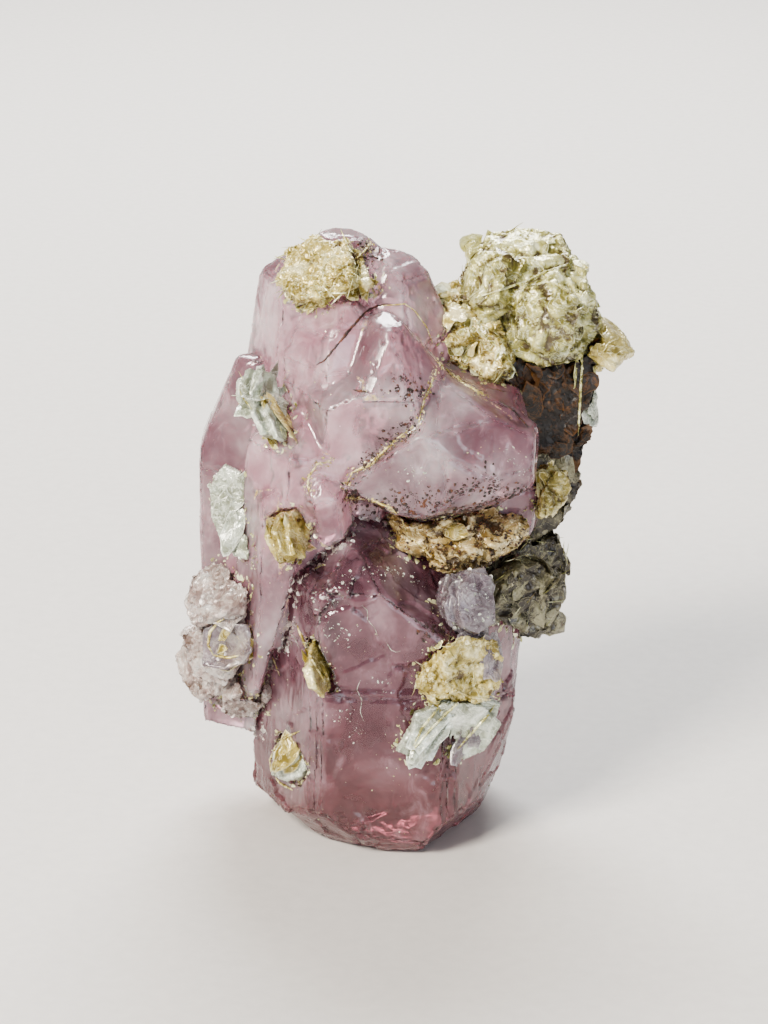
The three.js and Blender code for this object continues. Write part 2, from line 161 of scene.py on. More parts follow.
def shades(factor, stops):
    """A colour, or a share as a grey, that follows (place, colour) stops."""
    blend = add(factor.tree, "ShaderNodeValToRGB", {"Fac": factor})
    points = blend.socket.node.color_ramp.elements
    while len(points) < len(stops):
        points.new(0.5)
    for point, (place, colour) in zip(points, stops):
        point.position = place
        point.color = linear(colour) if isinstance(colour, str) else (colour, colour, colour, 1)
    return blend


def covered(colour, *covers):
    """A colour under others, each given with the share of it that shows."""
    for share, cover in covers:
        colour = add(share.tree, "ShaderNodeMix", {0: share, 6: colour, 7: cover}, 2, data_type="RGBA")
    return colour


def blots(place, size, detail=2.0, roughness=0.5, distortion=0.0, output=0):
    """Soft noise whose blots are about size metres across."""
    look = {"Detail": detail, "Roughness": roughness, "Distortion": distortion}
    return add(place.tree, "ShaderNodeTexNoise", {"Vector": place, "Scale": 1 / size, **look}, output)


def facets(place, size, output):
    """Cells about size metres across, each with its own Position and Color."""
    return add(place.tree, "ShaderNodeTexVoronoi", {"Vector": place, "Scale": 1 / size}, output, feature="F1")


def stretched(place, factors, turn=(0, 0, 0)):
    """A pattern's place, squeezed by a factor along each axis after a turn."""
    turned = {"Vector": place, "Rotation": turn}
    return add(place.tree, "ShaderNodeVectorRotate", turned, rotation_type="EULER_XYZ") * factors


def between(value, low, high):
    """0 below low, 1 above high, and smooth between."""
    ends = {"Value": value, "From Min": low, "From Max": high}
    return add(value.tree, "ShaderNodeMapRange", ends, interpolation_type="SMOOTHSTEP")


def centred(value, depth):
    """A pattern from 0 to 1 as a height of plus or minus half of depth."""
    return (value - 0.5) * depth


def terraced(value, steps):
    """A pattern from 0 to 1, rounded down to one of so many steps."""
    return math.floor(value * steps) / steps


# Finishes
def new_material(name):
    """A material and the place of a point on the piece."""
    material = bpy.data.materials.new(name)
    material.use_nodes = True
    material.node_tree.nodes.clear()
    return material, add(material.node_tree, "ShaderNodeTexCoord", output="Object")


def shown(material, surface, volume=None):
    """Gives a material its surface and what fills it."""
    inputs = {"Surface": surface} if volume is None else {"Surface": surface, "Volume": volume}
    add(material.node_tree, "ShaderNodeOutputMaterial", inputs, None)
    return material


def carried(place, name):
    """A value that the piece's mesh carries at each point."""
    return add(place.tree, "ShaderNodeAttribute", output="Fac", attribute_name=name)


def seam_crust(place):
    """How much of a thin mica and iron crust lies on a crystal's skin: in patches of its hollow edges."""
    patches = blots(place, 2.6 * MM, 3, 0.6)
    grains = blots(place, 0.28 * MM, 4, 0.7)
    near = carried(place, "seam") * shades(patches, [(0.42, 0.0), (0.56, 1.0)])
    amount = shades(near + grains * 0.7, [(0.82, 0.0), (1.0, 1.0)])
    return amount, shades(grains, [(0.38, "#3d2511"), (0.46, "#8d6a35"), (0.56, "#d9c795")])


def natural_apatite(name, colours, milkiness, absorbed, density, deeper, deeper_share):
    """Apatite as it grew: glassy faces over a body that is clear with soft milky clouds. The clear part
    bends light by 1.63 and takes up green and blue on the way through."""
    material, place = new_material(name)
    deep, middle, pale = colours
    cloud = blots(place, 4.8 * MM, 4, 0.55, 0.3)
    wisps = blots(stretched(place, (1, 1, 0.6)), 1.7 * MM, 5, 0.62, 0.7)
    veil = shades(wisps, [(0.54, 0.0), (0.63, 0.14), (0.78, 0.55)])
    crust, crust_colour = seam_crust(place)
    body = shades(cloud, [(0.36, deep), (0.5, middle), (0.64, pale)])
    # deeper_share paints the deeper colour: painted shade towards the right crystal's tip, a warmer pink
    # towards the lower crystal's foot.
    covers = (deeper_share(place), linear(deeper)), (veil, linear(pale)), (crust, crust_colour)
    milky = shades(cloud, [(0.36, 0.75 * milkiness), (0.66, 1.2 * milkiness)]) + veil * 0.6
    frost = shades(blots(place, 2.2 * MM, 4, 0.65), [(0.42, 0.03), (0.58, 0.08), (0.74, 0.3)])
    relief = {"Strength": 0.3, "Distance": 0.02 * MM, "Height": blots(place, 0.35 * MM, 5, 0.6)}
    surface = {
        "Base Color": covered(body, *covers),
        "Roughness": frost + carried(place, "edge") * 0.25 + crust * 0.4,
        "IOR": 1.634,
        "Transmission Weight": (1.0 - milky) * (1.0 - crust),
        "Subsurface Weight": 0.7,
        "Subsurface Radius": (1.0, 0.6, 0.65),
        "Subsurface Scale": 1.4 * MM,
        "Normal": add(place.tree, "ShaderNodeBump", relief),
    }
    inside = {"Color": linear(absorbed), "Density": density}
    return shown(
        material,
        add(place.tree, "ShaderNodeBsdfPrincipled", surface),
        add(place.tree, "ShaderNodeVolumeAbsorption", inside),
    )


def painted_shade_toward_right_tip(place):
    """Painted shade: the right crystal is painted a darker, deeper pink towards its tip, where it turns away
    from the light.
    """
    x = add(place.tree, "ShaderNodeSeparateXYZ", {0: place}, "X")
    return between(x, 5.5 * MM, 12.5 * MM) * 0.5


def toward_foot(place):
    """The lower crystal is a warmer pink towards its foot."""
    z = add(place.tree, "ShaderNodeSeparateXYZ", {0: place}, "Z")
    return 1.0 - between(z + centred(blots(place, 6 * MM, 2), 8 * MM), 3 * MM, 15 * MM)


def cleaved_mica(name, tones, stain_share, glitter, clear=0.0, rough=0.26, sheen=0.3):
    """Muscovite split along its sheets: a pearly, creased sheen that breaks into small flat mirrors, pale
    along creases and torn rims, with iron stain in patches and painted shade, darker and browner, in the
    hollows. glitter is how far the mirrors lean."""
    material, place = new_material(name)
    bright, middle, dark, stain = tones
    spread = blots(place, 1.6 * MM, 5, 0.62, 0.5)
    creases = blots(stretched(place, (1, 0.4, 0.7), (0.5, 0.3, 0.7)), 0.9 * MM, 4, 0.55, 1.6)
    creases = abs(creases - 0.5)
    tone, hollow = carried(place, "tone"), carried(place, "hollow")
    flake = (tone - 0.62) * 0.5 * (tone > 0.1)
    # Painted shade in the hollows: hollow darkens the tone below and adds to the brown stain here.
    stain_and_hollow_shade = blots(place, 1.1 * MM, 5, 0.7, 0.6) + hollow * 0.22
    low = 0.86 - 0.36 * stain_share
    colour = covered(
        shades(spread + flake + hollow * -0.14, [(0.34, dark), (0.5, middle), (0.64, bright)]),
        (shades(creases, [(0.0, 0.8), (0.035, 0.0)]), linear(bright)),
        (shades(stain_and_hollow_shade, [(low - 0.1, 0.0), (low, 0.9)]), linear(stain)),
        (shades(carried(place, "rim"), [(0.7, 0.0), (0.96, 0.7)]), linear(bright)),
    )

    lean = (facets(place, 0.7 * MM, "Color") - (0.5, 0.5, 0.5)) * glitter
    mirror = add(place.tree, "ShaderNodeNewGeometry", output="Normal") + lean
    mirror = add(place.tree, "ShaderNodeVectorMath", {0: mirror}, operation="NORMALIZE")
    striae = blots(stretched(place, (1, 0.1, 0.16), (0.3, 0.9, 0.4)), 0.3 * MM, 2, 0.5, 0.3)
    height = shades(creases, [(0.0, 1.0), (0.09, 0.0)]) + blots(place, 0.2 * MM, 3, 0.6, 0.8) * 0.5
    relief = {"Strength": 0.6, "Distance": 0.06 * MM, "Height": height + striae * 0.9, "Normal": mirror}
    surface = {
        "Base Color": colour,
        "Roughness": shades(spread, [(0.35, rough + 0.12), (0.65, rough - 0.08)]),
        "IOR": 1.6,
        "Metallic": sheen * (1 - min(1, 2 * clear)),
        "Transmission Weight": clear,
        "Subsurface Weight": min(0.4, clear),
        "Subsurface Radius": (1.0, 0.9, 0.8),
        "Subsurface Scale": 0.7 * MM,
        "Coat Weight": 2 * sheen,
        "Coat Roughness": 0.08,
        "Normal": add(place.tree, "ShaderNodeBump", relief),
    }
    return shown(material, add(place.tree, "ShaderNodeBsdfPrincipled", surface))


def iron_oxide(name, light, dark):
    """Goethite and limonite grains in the seams: dark brown, dull, rusty in patches."""
    material, place = new_material(name)
    colour = shades(blots(place, 0.5 * MM, 3, 0.6), [(0.5, dark), (0.66, light)])
    surface = {"Base Color": colour, "Roughness": 0.55, "IOR": 1.7}
    return shown(material, add(place.tree, "ShaderNodeBsdfPrincipled", surface))


def healed_fracture(name, colour):
    """A healed fracture inside a crystal: a film of tiny bubbles, see-through between its wisps."""
    material, place = new_material(name)
    share = shades(blots(place, 0.9 * MM, 6, 0.7, 1.4), [(0.46, 0.0), (0.62, 0.5)])
    gap = add(place.tree, "ShaderNodeBsdfTransparent")
    film = {"Base Color": linear(colour), "Roughness": 0.3}
    film = add(place.tree, "ShaderNodeBsdfPrincipled", film)
    return shown(material, add(place.tree, "ShaderNodeMixShader", {0: share, 1: gap, 2: film}))


# Geometry Nodes
def start_tree(name, sockets):
    """A Geometry Nodes tree with these named inputs, as (name, kind, default)."""
    tree = bpy.data.node_groups.new(name, "GeometryNodeTree")
    tree.interface.new_socket("Geometry", in_out="INPUT", socket_type="NodeSocketGeometry")
    for label, kind, default in sockets:
        socket = tree.interface.new_socket(label, in_out="INPUT", socket_type="NodeSocket" + kind)
        if default is not None:
            socket.default_value = default
    given = add(tree, "NodeGroupInput").socket.node.outputs
    return tree, {socket.name: Field(tree, socket) for socket in given if socket.name}


def end_tree(geometry):
    """Makes this the result of its tree."""
    interface = geometry.tree.interface
    interface.new_socket("Geometry", in_out="OUTPUT", socket_type="NodeSocketGeometry")
    add(geometry.tree, "NodeGroupOutput", {0: geometry}, None)
    return geometry.tree


def set_inputs(modifier, values):
    sockets = modifier.node_group.interface.items_tree
    names = {s.name: s.identifier for s in sockets if s.item_type == "SOCKET" and s.in_out == "INPUT"}
    for name, value in values.items():
        modifier[names[name]] = value


def joined(*parts):
    """These geometries in one, in this order."""
    both = add(parts[0].tree, "GeometryNodeJoinGeometry")
    for part in parts:
        part.tree.links.new(part.socket, both.socket.node.inputs[0])
    return both


def distance_to(thing, element, place=None):
    """How far each point, or a place, is from an object's FACES or EDGES."""
    mesh = {"Object": thing}
    mesh = add(thing.tree, "GeometryNodeObjectInfo", mesh, "Geometry", transform_space="ORIGINAL")
    inputs = {"Geometry": mesh} if place is None else {"Geometry": mesh, "Sample Position": place}
    return add(thing.tree, "GeometryNodeProximity", inputs, "Distance", target_element=element)


def on_solid(solid):
    """The nearest point of a solid's flat faces, and the face's direction there."""
    tree = solid.tree
    mesh = add(tree, "GeometryNodeObjectInfo", {"Object": solid}, "Geometry", transform_space="ORIGINAL")
    place, facing = add(tree, "GeometryNodeInputPosition"), add(tree, "GeometryNodeInputNormal")
    kind, nearest = "GeometryNodeSampleNearestSurface", {"Mesh": mesh, "Sample Position": place}
    return [
        add(tree, kind, {**nearest, "Value": value}, "Value", data_type="FLOAT_VECTOR")
        for value in (place, facing)
    ]


def labelled(geometry, domain="POINT", **values):
    """The geometry, carrying these values by name at each point or copy."""
    for name, value in values.items():
        inputs = {"Geometry": geometry, "Name": name, "Value": value}
        kind = "GeometryNodeStoreNamedAttribute"
        geometry = add(geometry.tree, kind, inputs, data_type="FLOAT", domain=domain)
    return geometry


def shaken(place, grain, reach):
    """A soft stray of up to half of reach in every direction."""
    return (blots(place, grain, output="Color") - (0.5, 0.5, 0.5)) * reach


def crumpled(place, size, slope):
    """The height of flat facets of this size, each leaning its own way by up to half of slope."""
    middle = facets(place, size, "Position")
    return (place - middle) @ (middle.output("Color") - (0.5, 0.5, 0.5)) * slope


def crystal_skin_tree():
    """Growth and wear on crystal faces: slow waves, shallow terraces, fine grain, chipped edges, a crust in
    the hollow edges, streaks along the axis on the left and across it at the foot."""
    tree, given = start_tree(
        "crystal_skin",
        [
            ("Solid", "Object", None),
            ("Edges", "Object", None),
            ("Hollow Edges", "Object", None),
            ("Wave", "Float", 0.1 * MM),
            ("Terrace", "Float", 0.06 * MM),
            ("Chip", "Float", 0.16 * MM),
            ("Round", "Float", 0.16 * MM),
            ("Fractures", "Float", 0.06),
            ("Crust", "Float", 0.0),
            ("Streak", "Float", 0.0),
            ("Streak Left Of", "Float", -6 * MM),
            ("Foot Streak", "Float", 0.0),
            ("Foot Height", "Float", 4 * MM),
        ],
    )
    place, facing = on_solid(given["Solid"])
    edge = 1.0 - between(distance_to(given["Edges"], "EDGES", place), 0, 0.6 * MM)
    seam = 1.0 - between(distance_to(given["Hollow Edges"], "EDGES", place), 0.02 * MM, 0.34 * MM)
    seam = seam * given["Crust"]
    wave = centred(blots(place, 4.5 * MM, 1), given["Wave"])
    terrace = centred(terraced(blots(place, 3.2 * MM, 2, 0.5, 0.6), 9), given["Terrace"] * 2)
    grain = centred(blots(place, 0.7 * MM, 3), 0.02 * MM)
    chips = between(blots(place, 0.8 * MM, 3, 0.6, 0.5), 0.5, 0.62) * edge * given["Chip"]
    rounded = edge * edge * given["Round"]
    crust = blots(place, 0.4 * MM, 4, 0.7) * (0.3 * MM) * seam
    apart = add(tree, "ShaderNodeSeparateXYZ", {0: place})
    upright = blots(stretched(place, (1, 1, 0.08)), 0.55 * MM, 3, 0.6)
    streak = centred(upright, given["Streak"]) * (apart.output("X") < given["Streak Left Of"])
    level = blots(stretched(place, (0.1, 0.1, 1.4)), 0.6 * MM, 3, 0.6)
    foot = centred(level, given["Foot Streak"]) * (apart.output("Z") < given["Foot Height"])
    warped = place + shaken(place, 2.4 * MM, 1.6 * MM)
    broken = crumpled(warped, 3.2 * MM, given["Fractures"])
    height = wave + terrace + grain - chips + crust + streak + foot - rounded + broken
    shaped = {"Geometry": labelled(given["Geometry"], edge=edge, seam=seam)}
    shaped["Position"] = place + facing * height
    return end_tree(add(tree, "GeometryNodeSetPosition", shaped))


def mica_skin_tree():
    """Sheets of a book: their edges stand out by different amounts, and the open face is broken in steps."""
    tree, given = start_tree(
        "mica_skin",
        [
            ("Solid", "Object", None),
            ("Facing", "Vector", None),
            ("Sheet", "Float", 0.3 * MM),
            ("Ragged", "Float", 0.36 * MM),
            ("Steps", "Float", 0.24 * MM),
            ("Lobes", "Float", 1.2 * MM),
            ("Crinkle", "Float", 1.6 * MM),
            ("Facets", "Float", 0.25),
            ("Shift", "Vector", None),
        ],
    )
    place, outward = on_solid(given["Solid"])
    facing = given["Facing"]
    pattern = place + given["Shift"]
    warp = centred(blots(pattern, 2.2 * MM, 2), 0.9 * MM)
    layer = math.floor((pattern @ facing + warp) / given["Sheet"])
    edge = blots(pattern + facing * (layer * 0.0031), 1.1 * MM, 3, 0.6)
    share = outward @ facing
    ragged = (outward - facing * share) * centred(edge, given["Ragged"])
    steps = terraced(blots(pattern, 1.5 * MM, 3, 0.55, 0.8), 10)
    stepped = facing * (centred(steps, given["Steps"]) * share)
    lobes = (abs(blots(pattern, 2.6 * MM, 1, 0.5, 0.6) - 0.5) - 0.1) * given["Lobes"]
    folds = blots(stretched(pattern, (1, 0.35, 0.8), (0.4, 0.8, 0.3)), 0.8 * MM, 3, 0.55, 1.2)
    folds = reckoned("MAXIMUM", 0.06 - abs(folds - 0.5), 0.0) * given["Crinkle"]
    raised = lobes + folds + crumpled(pattern, 1.7 * MM, given["Facets"])
    # hollow marks the low parts of the face, where the finish paints shade: darker and browner.
    hollow = 1.0 - between(raised, -0.16 * MM, 0.1 * MM)
    shaped = {"Geometry": labelled(given["Geometry"], hollow=hollow)}
    shaped["Position"] = place + ragged + stepped + outward * raised
    return end_tree(add(tree, "GeometryNodeSetPosition", shaped))


def chance(seed, low=(-1, -1, -1), high=(1, 1, 1)):
    """A random direction for each point, or a number where the ends are numbers."""
    kind, first = ("FLOAT_VECTOR", 0) if is_direction(low) else ("FLOAT", 2)
    ends = {first: low, first + 1: high, "Seed": seed}
    return add(seed.tree, "FunctionNodeRandomValue", ends, first // 2, data_type=kind)


def twisted(rotation, angle):
    """A rotation, after a turn about its own Z."""
    tree = rotation.tree
    twist = add(tree, "FunctionNodeAxisAngleToRotation", {"Axis": (0, 0, 1), "Angle": angle})
    return add(tree, "FunctionNodeRotateRotation", {0: rotation, 1: twist}, rotation_space="LOCAL")


def placed_copies(points, shapes, rotation, scale, material):
    """Real copies of a collection's shapes, one picked at random for each point."""
    tree = points.tree
    source = {"Collection": shapes, "Separate Children": True, "Reset Children": True}
    source = add(tree, "GeometryNodeCollectionInfo", source, transform_space="ORIGINAL")
    copies = {"Points": points, "Instance": source, "Rotation": rotation, "Scale": scale}
    copies = add(tree, "GeometryNodeInstanceOnPoints", {**copies, "Pick Instance": True})
    tone = {2: 0.3, 3: 1.0, "Seed": 31}
    tone = add(tree, "FunctionNodeRandomValue", tone, 1, data_type="FLOAT")
    real = add(tree, "GeometryNodeRealizeInstances", {"Geometry": labelled(copies, "INSTANCE", tone=tone)})
    return add(tree, "GeometryNodeSetMaterial", {"Geometry": real, "Material": material})


def pile_tree():
    """A pile of thin sheets along a book's facing, bent together by one slow wave."""
    tree, given = start_tree(
        "mica_pile",
        [
            ("Sheets", "Collection", None),
            ("Count", "Int", 12),
            ("Place", "Vector", None),
            ("Facing", "Vector", None),
            ("Along", "Vector", None),
            ("Radius", "Float", 3 * MM),
            ("Depth", "Float", 3 * MM),
            ("Spin", "Float", math.pi),
            ("Tilt", "Float", 0.2),
            ("Shift", "Float", 0.25),
            ("Stretch", "Float", 1.0),
            ("Wave", "Float", 0.5 * MM),
            ("Seed", "Int", 1),
            ("Material", "Material", None),
        ],
    )
    seed, count, facing, wave = given["Seed"], given["Count"], given["Facing"], given["Wave"]
    line = add(tree, "GeometryNodeMeshLine", {"Count": count, "Offset": (0, 0, 0)})
    share = add(tree, "GeometryNodeInputIndex") / (count - 1)
    stray = chance(seed) * given["Shift"] * given["Radius"]
    place = given["Place"] + stray + facing * centred(share, given["Depth"])
    points = add(tree, "GeometryNodeSetPosition", {"Geometry": line, "Position": place})
    turned = {0: facing + chance(seed + 3) * given["Tilt"], 1: given["Along"]}
    turned = add(tree, "FunctionNodeAxesToRotation", turned, primary_axis="Z", secondary_axis="X")
    turned = twisted(turned, chance(seed + 5, -1.0, 1.0) * given["Spin"])
    size = given["Radius"] * chance(seed + 7, 0.72, 1.05)
    sides = {0: size * given["Stretch"], 1: size / given["Stretch"], 2: size}
    scale = add(tree, "ShaderNodeCombineXYZ", sides)
    sheets = placed_copies(points, given["Sheets"], turned, scale, given["Material"])
    here = add(tree, "GeometryNodeInputPosition")
    slow = centred(blots(here, 2.2 * MM, 2), wave)
    fine = abs(blots(here, 0.9 * MM, 2, 0.5, 0.8) - 0.5) * (wave * -0.9)
    bent = {"Geometry": sheets, "Offset": facing * (slow + fine)}
    return end_tree(joined(given["Geometry"], add(tree, "GeometryNodeSetPosition", bent)))


def scatter_tree(name, element, keep_surface):
    """Small shapes strewn over a surface, everywhere or only near an object's faces or lines. Facing
    draws them towards one direction, and Hug towards the surface's own."""
    tree, given = start_tree(
        name,
        [
            ("Shapes", "Collection", None),
            ("Near", "Object", None),
            ("Reach", "Float", 1 * MM),
            ("Clearance", "Float", 0.0),
            ("Per Square Millimetre", "Float", 3.0),
            ("Smallest", "Float", 0.4 * MM),
            ("Largest", "Float", 1.3 * MM),
            ("Rarity", "Float", 2.2),
            ("Facing", "Vector", None),
            ("Hug", "Float", 1.0),
            ("Tilt", "Float", 0.5),
            ("Least Sunk", "Float", 0.0),
            ("Most Sunk", "Float", 0.0),
            ("Seed", "Int", 1),
            ("Material", "Material", None),
        ],
    )
    seed, facing = given["Seed"], given["Facing"]
    density = given["Per Square Millimetre"] * 1e6
    if element:
        away = distance_to(given["Near"], element)
        near = 1.0 - between(away, 0.0, given["Reach"])
        density = density * (near * (away > given["Clearance"]))
    spread = {"Mesh": given["Geometry"], "Density": density, "Seed": seed}
    outward = add(tree, "GeometryNodeDistributePointsOnFaces", spread, "Normal")
    side = reckoned("SIGN", outward @ facing)
    upward = facing * side + outward * given["Hug"] + chance(seed) * given["Tilt"]
    turned = add(tree, "FunctionNodeAlignRotationToVector", {"Vector": upward}, axis="Z")
    turned = twisted(turned, chance(seed + 7, 0.0, math.tau))
    share = chance(seed + 13, 0.0, 1.0) ** given["Rarity"]
    ends = {"Value": share, "To Min": given["Smallest"], "To Max": given["Largest"]}
    size = add(tree, "ShaderNodeMapRange", ends)
    depth = chance(seed + 17, given["Least Sunk"], given["Most Sunk"])
    points = {"Geometry": outward.output("Points"), "Offset": outward * (depth * -1)}
    points = add(tree, "GeometryNodeSetPosition", points)
    copies = placed_copies(points, given["Shapes"], turned, size, given["Material"])
    return end_tree(joined(given["Geometry"], copies) if keep_surface else copies)


def line_crust_tree():
    """A crumbly bead of crust or a thin blade along each line, thinner towards the line's ends."""
    tree, given = start_tree(
        "line_crust",
        [
            ("Radius", "Float", 0.12 * MM),
            ("Rough", "Float", 0.2 * MM),
            ("Grain", "Float", 0.3 * MM),
            ("Taper", "Float", 0.5),
            ("Material", "Material", None),
        ],
    )
    curve = add(tree, "GeometryNodeMeshToCurve", {"Mesh": given["Geometry"]})
    curve = add(tree, "GeometryNodeResampleCurve", {"Curve": curve, "Length": 0.12 * MM}, mode="LENGTH")
    share = add(tree, "GeometryNodeSplineParameter", output="Factor")
    taper = ((1.0 - share) * share * 4 + 0.04) ** given["Taper"]
    profile = add(tree, "GeometryNodeCurvePrimitiveCircle", {"Resolution": 6, "Radius": 1.0})
    sides = {"Curve": curve, "Profile Curve": profile, "Scale": taper * given["Radius"], "Fill Caps": True}
    bead = add(tree, "GeometryNodeCurveToMesh", sides)
    here = add(tree, "GeometryNodeInputPosition")
    stray = blots(here, given["Grain"], 3.0, output="Color") - (0.5, 0.5, 0.5)
    bead = {"Geometry": bead, "Offset": stray * given["Rough"]}
    bead = add(tree, "GeometryNodeSetPosition", bead)
    bead = labelled(bead, tone=between(blots(here, 0.5 * MM, 2), 0.2, 0.75))
    bead = {"Geometry": bead, "Material": given["Material"]}
    return end_tree(add(tree, "GeometryNodeSetMaterial", bead))


CRYSTAL_SKIN = crystal_skin_tree()
MICA_SKIN = mica_skin_tree()
MICA_PILE = pile_tree()
LINE_CRUST = line_crust_tree()
LOOSE_FLAKES = scatter_tree("loose_flakes", None, True)
STREWN_NEAR_LINES = scatter_tree("strewn_near_lines", "EDGES", False)
STREWN_NEAR_SOLIDS = scatter_tree("strewn_near_solids", "FACES", False)
STREWN = scatter_tree("strewn", None, False)

# The deeper colour of the upper crystals is painted shade towards the right crystal's tip.
PINK_APATITE = natural_apatite(
    "pink_apatite_natural_faces", ("#c49daa", "#d4b7c0", "#e7d6db"), 0.36, "#dda2b0", 70, "#bb7b90",
    painted_shade_toward_right_tip,
)
DEEP_PINK_APATITE = natural_apatite(
    "deep_pink_apatite_natural_faces", ("#7d5c68", "#9a7783", "#c3a9b2"), 0.32, "#bc7b8a", 95, "#a16f74",
    toward_foot,
)
SILVER_MICA = cleaved_mica(
    "muscovite_silver_cleaved", ("#f4f5cf", "#cfcb86", "#8a8444", "#4f3d22"), 0.22, 0.24
)
AQUA_MICA = cleaved_mica(
    "muscovite_aqua_white_cleaved", ("#f3f7ec", "#c6cebd", "#858a75", "#54503a"), 0.15, 0.3
)
CLEAR_MICA = cleaved_mica(
    "muscovite_clear_cleaved", ("#f3eef2", "#cabcc4", "#97848f", "#5b4038"), 0.15, 0.34, 0.7, 0.18
)
GOLD_MICA = cleaved_mica(
    "muscovite_gold_cleaved", ("#faf2c2", "#d0bf72", "#8a7a36", "#553d1c"), 0.24, 0.26
)
DOTTED_MICA = cleaved_mica(
    "muscovite_gold_with_iron_dots", ("#f4e9c0", "#c9b27a", "#8c733c", "#3a2410"), 0.5, 0.3
)
# Mica of the trunk under the crown: its brown is real iron stain, and its near-black darkness is painted
# shade from the crown above.
STAINED_MICA_IN_PAINTED_SHADE = cleaved_mica(
    "muscovite_iron_stained", ("#643f0e", "#3c2406", "#1c1003", "#0c0601"), 0.7, 0.24, 0.0, 0.45, 0.02
)
GREY_MICA = cleaved_mica(
    "muscovite_grey_green_massive", ("#a29d7c", "#5e583e", "#322c1e", "#271c0f"), 0.4, 0.3, 0.15, 0.34
)
CRUST_MICA = cleaved_mica(
    "muscovite_fine_scaly_crust", ("#f8f3ec", "#dccbc3", "#ac948d", "#7d6250"), 0.12, 0.5, 0.35
)
IRON_OXIDE = iron_oxide("goethite_grains", "#6e3a14", "#241308")
FRACTURE_VEIL = healed_fracture("healed_fracture_film", "#f3e6e8")


# Shapes that are strewn
def new_object(name, mesh, collection=None):
    made = bpy.data.objects.new(name, mesh)
    (collection or bpy.context.scene.collection).objects.link(made)
    return made


def torn_outline(rng, sides):
    """How far a sheet reaches to each side: four to six straight breaks, a little ragged."""
    corners, start = rng.choice((4, 5, 6)), rng.uniform(0, math.tau)
    step = math.tau / corners
    turns = [(math.tau * k / sides + start) % step - step / 2 for k in range(sides)]
    return [math.cos(step / 2) / math.cos(turn) * rng.uniform(0.88, 1.1) for turn in turns]


def sheet_mesh(name, rng, sides, rings, curl, thickness):
    """One thin bent sheet of mica with a torn outline, of radius 1. rim grows from 0 to 1 at its edge."""
    outline = torn_outline(rng, sides)
    narrow = rng.uniform(0.6, 1.0)
    fold_angle, fold = rng.uniform(0, math.tau), rng.uniform(0.02, 0.06)
    mesh = bmesh.new()
    rim = mesh.verts.layers.float.new("rim")

    def point(x, y, share, side):
        across = x * math.cos(fold_angle) + y * math.sin(fold_angle)
        z = curl * across**2 + fold * math.sin(5 * across) + side * thickness * (1 - share**4)
        vertex = mesh.verts.new((x, y * narrow, z))
        vertex[rim] = share**3
        return vertex

    def ring(share, side):
        turns = [math.tau * k / sides for k in range(sides)]
        return [
            point(reach * share * math.cos(a), reach * share * math.sin(a), share, side)
            for a, reach in zip(turns, outline)
        ]

    edge = ring(1.0, 0)
    for side in (-0.5, 0.5):
        circles = [ring(share, side) for share in rings] + [edge]
        centre = point(0, 0, 0, side)
        for k in range(sides):
            n = (k + 1) % sides
            mesh.faces.new((centre, circles[0][k], circles[0][n]))
            for inner, outer in zip(circles, circles[1:]):
                mesh.faces.new((inner[k], outer[k], outer[n], inner[n]))
    bmesh.ops.recalc_face_normals(mesh, faces=mesh.faces)
    return finished(mesh, name)


def grain_mesh(name, rng):
    """A rough iron grain, about 1 across and lying flat."""
    mesh = bmesh.new()
    bmesh.ops.create_icosphere(mesh, subdivisions=1, radius=0.5)
    for vertex in mesh.verts:
        vertex.co *= rng.uniform(0.7, 1.25)
        vertex.co.x *= 1.3
        vertex.co.z *= 0.6
    return finished(mesh, name)


def curl_mesh(name, rng):
    """An iron grain that has grown as a small open ring, about 1 across."""
    mesh = bmesh.new()
    steps, sides, sweep = 8, 4, rng.uniform(3.6, 5.6)
    loops = []
    for k in range(steps + 1):
        a = sweep * k / steps
        reach, thick = rng.uniform(0.34, 0.44), rng.uniform(0.1, 0.17)
        loop = []
        for j in range(sides):
            b = math.tau * j / sides
            out = reach + thick * math.cos(b)
            loop.append(mesh.verts.new((out * math.cos(a), out * math.sin(a), thick * math.sin(b))))
        loops.append(loop)
    for first, second in zip(loops, loops[1:]):
        for j in range(sides):
            n = (j + 1) % sides
            mesh.faces.new((first[j], first[n], second[n], second[j]))
    mesh.faces.new(loops[0])
    mesh.faces.new(loops[-1])
    bmesh.ops.recalc_face_normals(mesh, faces=mesh.faces)
    return finished(mesh, name)


def needle_mesh(name, rng):
    """A thin strip torn from a sheet, 2 long and gently bent."""
    mesh = bmesh.new()
    bow, half = rng.uniform(-0.3, 0.3), rng.uniform(0.03, 0.06)
    loops = []
    for k in range(6):
        x = -1 + 0.4 * k
        wide = half * (1 - 0.8 * abs(x) ** 3)
        y, z = bow * x * x, 0.04 * math.sin(3 * x)
        corners = ((-wide, 0), (0, wide), (wide, 0), (0, -wide))
        loops.append([mesh.verts.new((x, y + dy, z + dz)) for dy, dz in corners])
    for first, second in zip(loops, loops[1:]):
        for j in range(4):
            n = (j + 1) % 4
            mesh.faces.new((first[j], first[n], second[n], second[j]))
    mesh.faces.new(loops[0])
    mesh.faces.new(loops[-1])
    bmesh.ops.recalc_face_normals(mesh, faces=mesh.faces)
    return finished(mesh, name)


def finished(mesh, name):
    made = bpy.data.meshes.new(name)
    mesh.to_mesh(made)
    mesh.free()
    return made


def shape_set(name, makers):
    """A collection of shapes, kept out of the scene."""
    shapes = bpy.data.collections.new(name)
    for number, maker in enumerate(makers):
        label = f"{name}_{number}"
        new_object(label, maker(label, random.Random(number + len(name))), shapes)
    return shapes


def sheets_of(curl, thickness=0.022, sides=16, rings=(0.35, 0.65, 0.88)):
    return lambda name, rng: sheet_mesh(name, rng, sides, rings, rng.uniform(*curl), thickness)


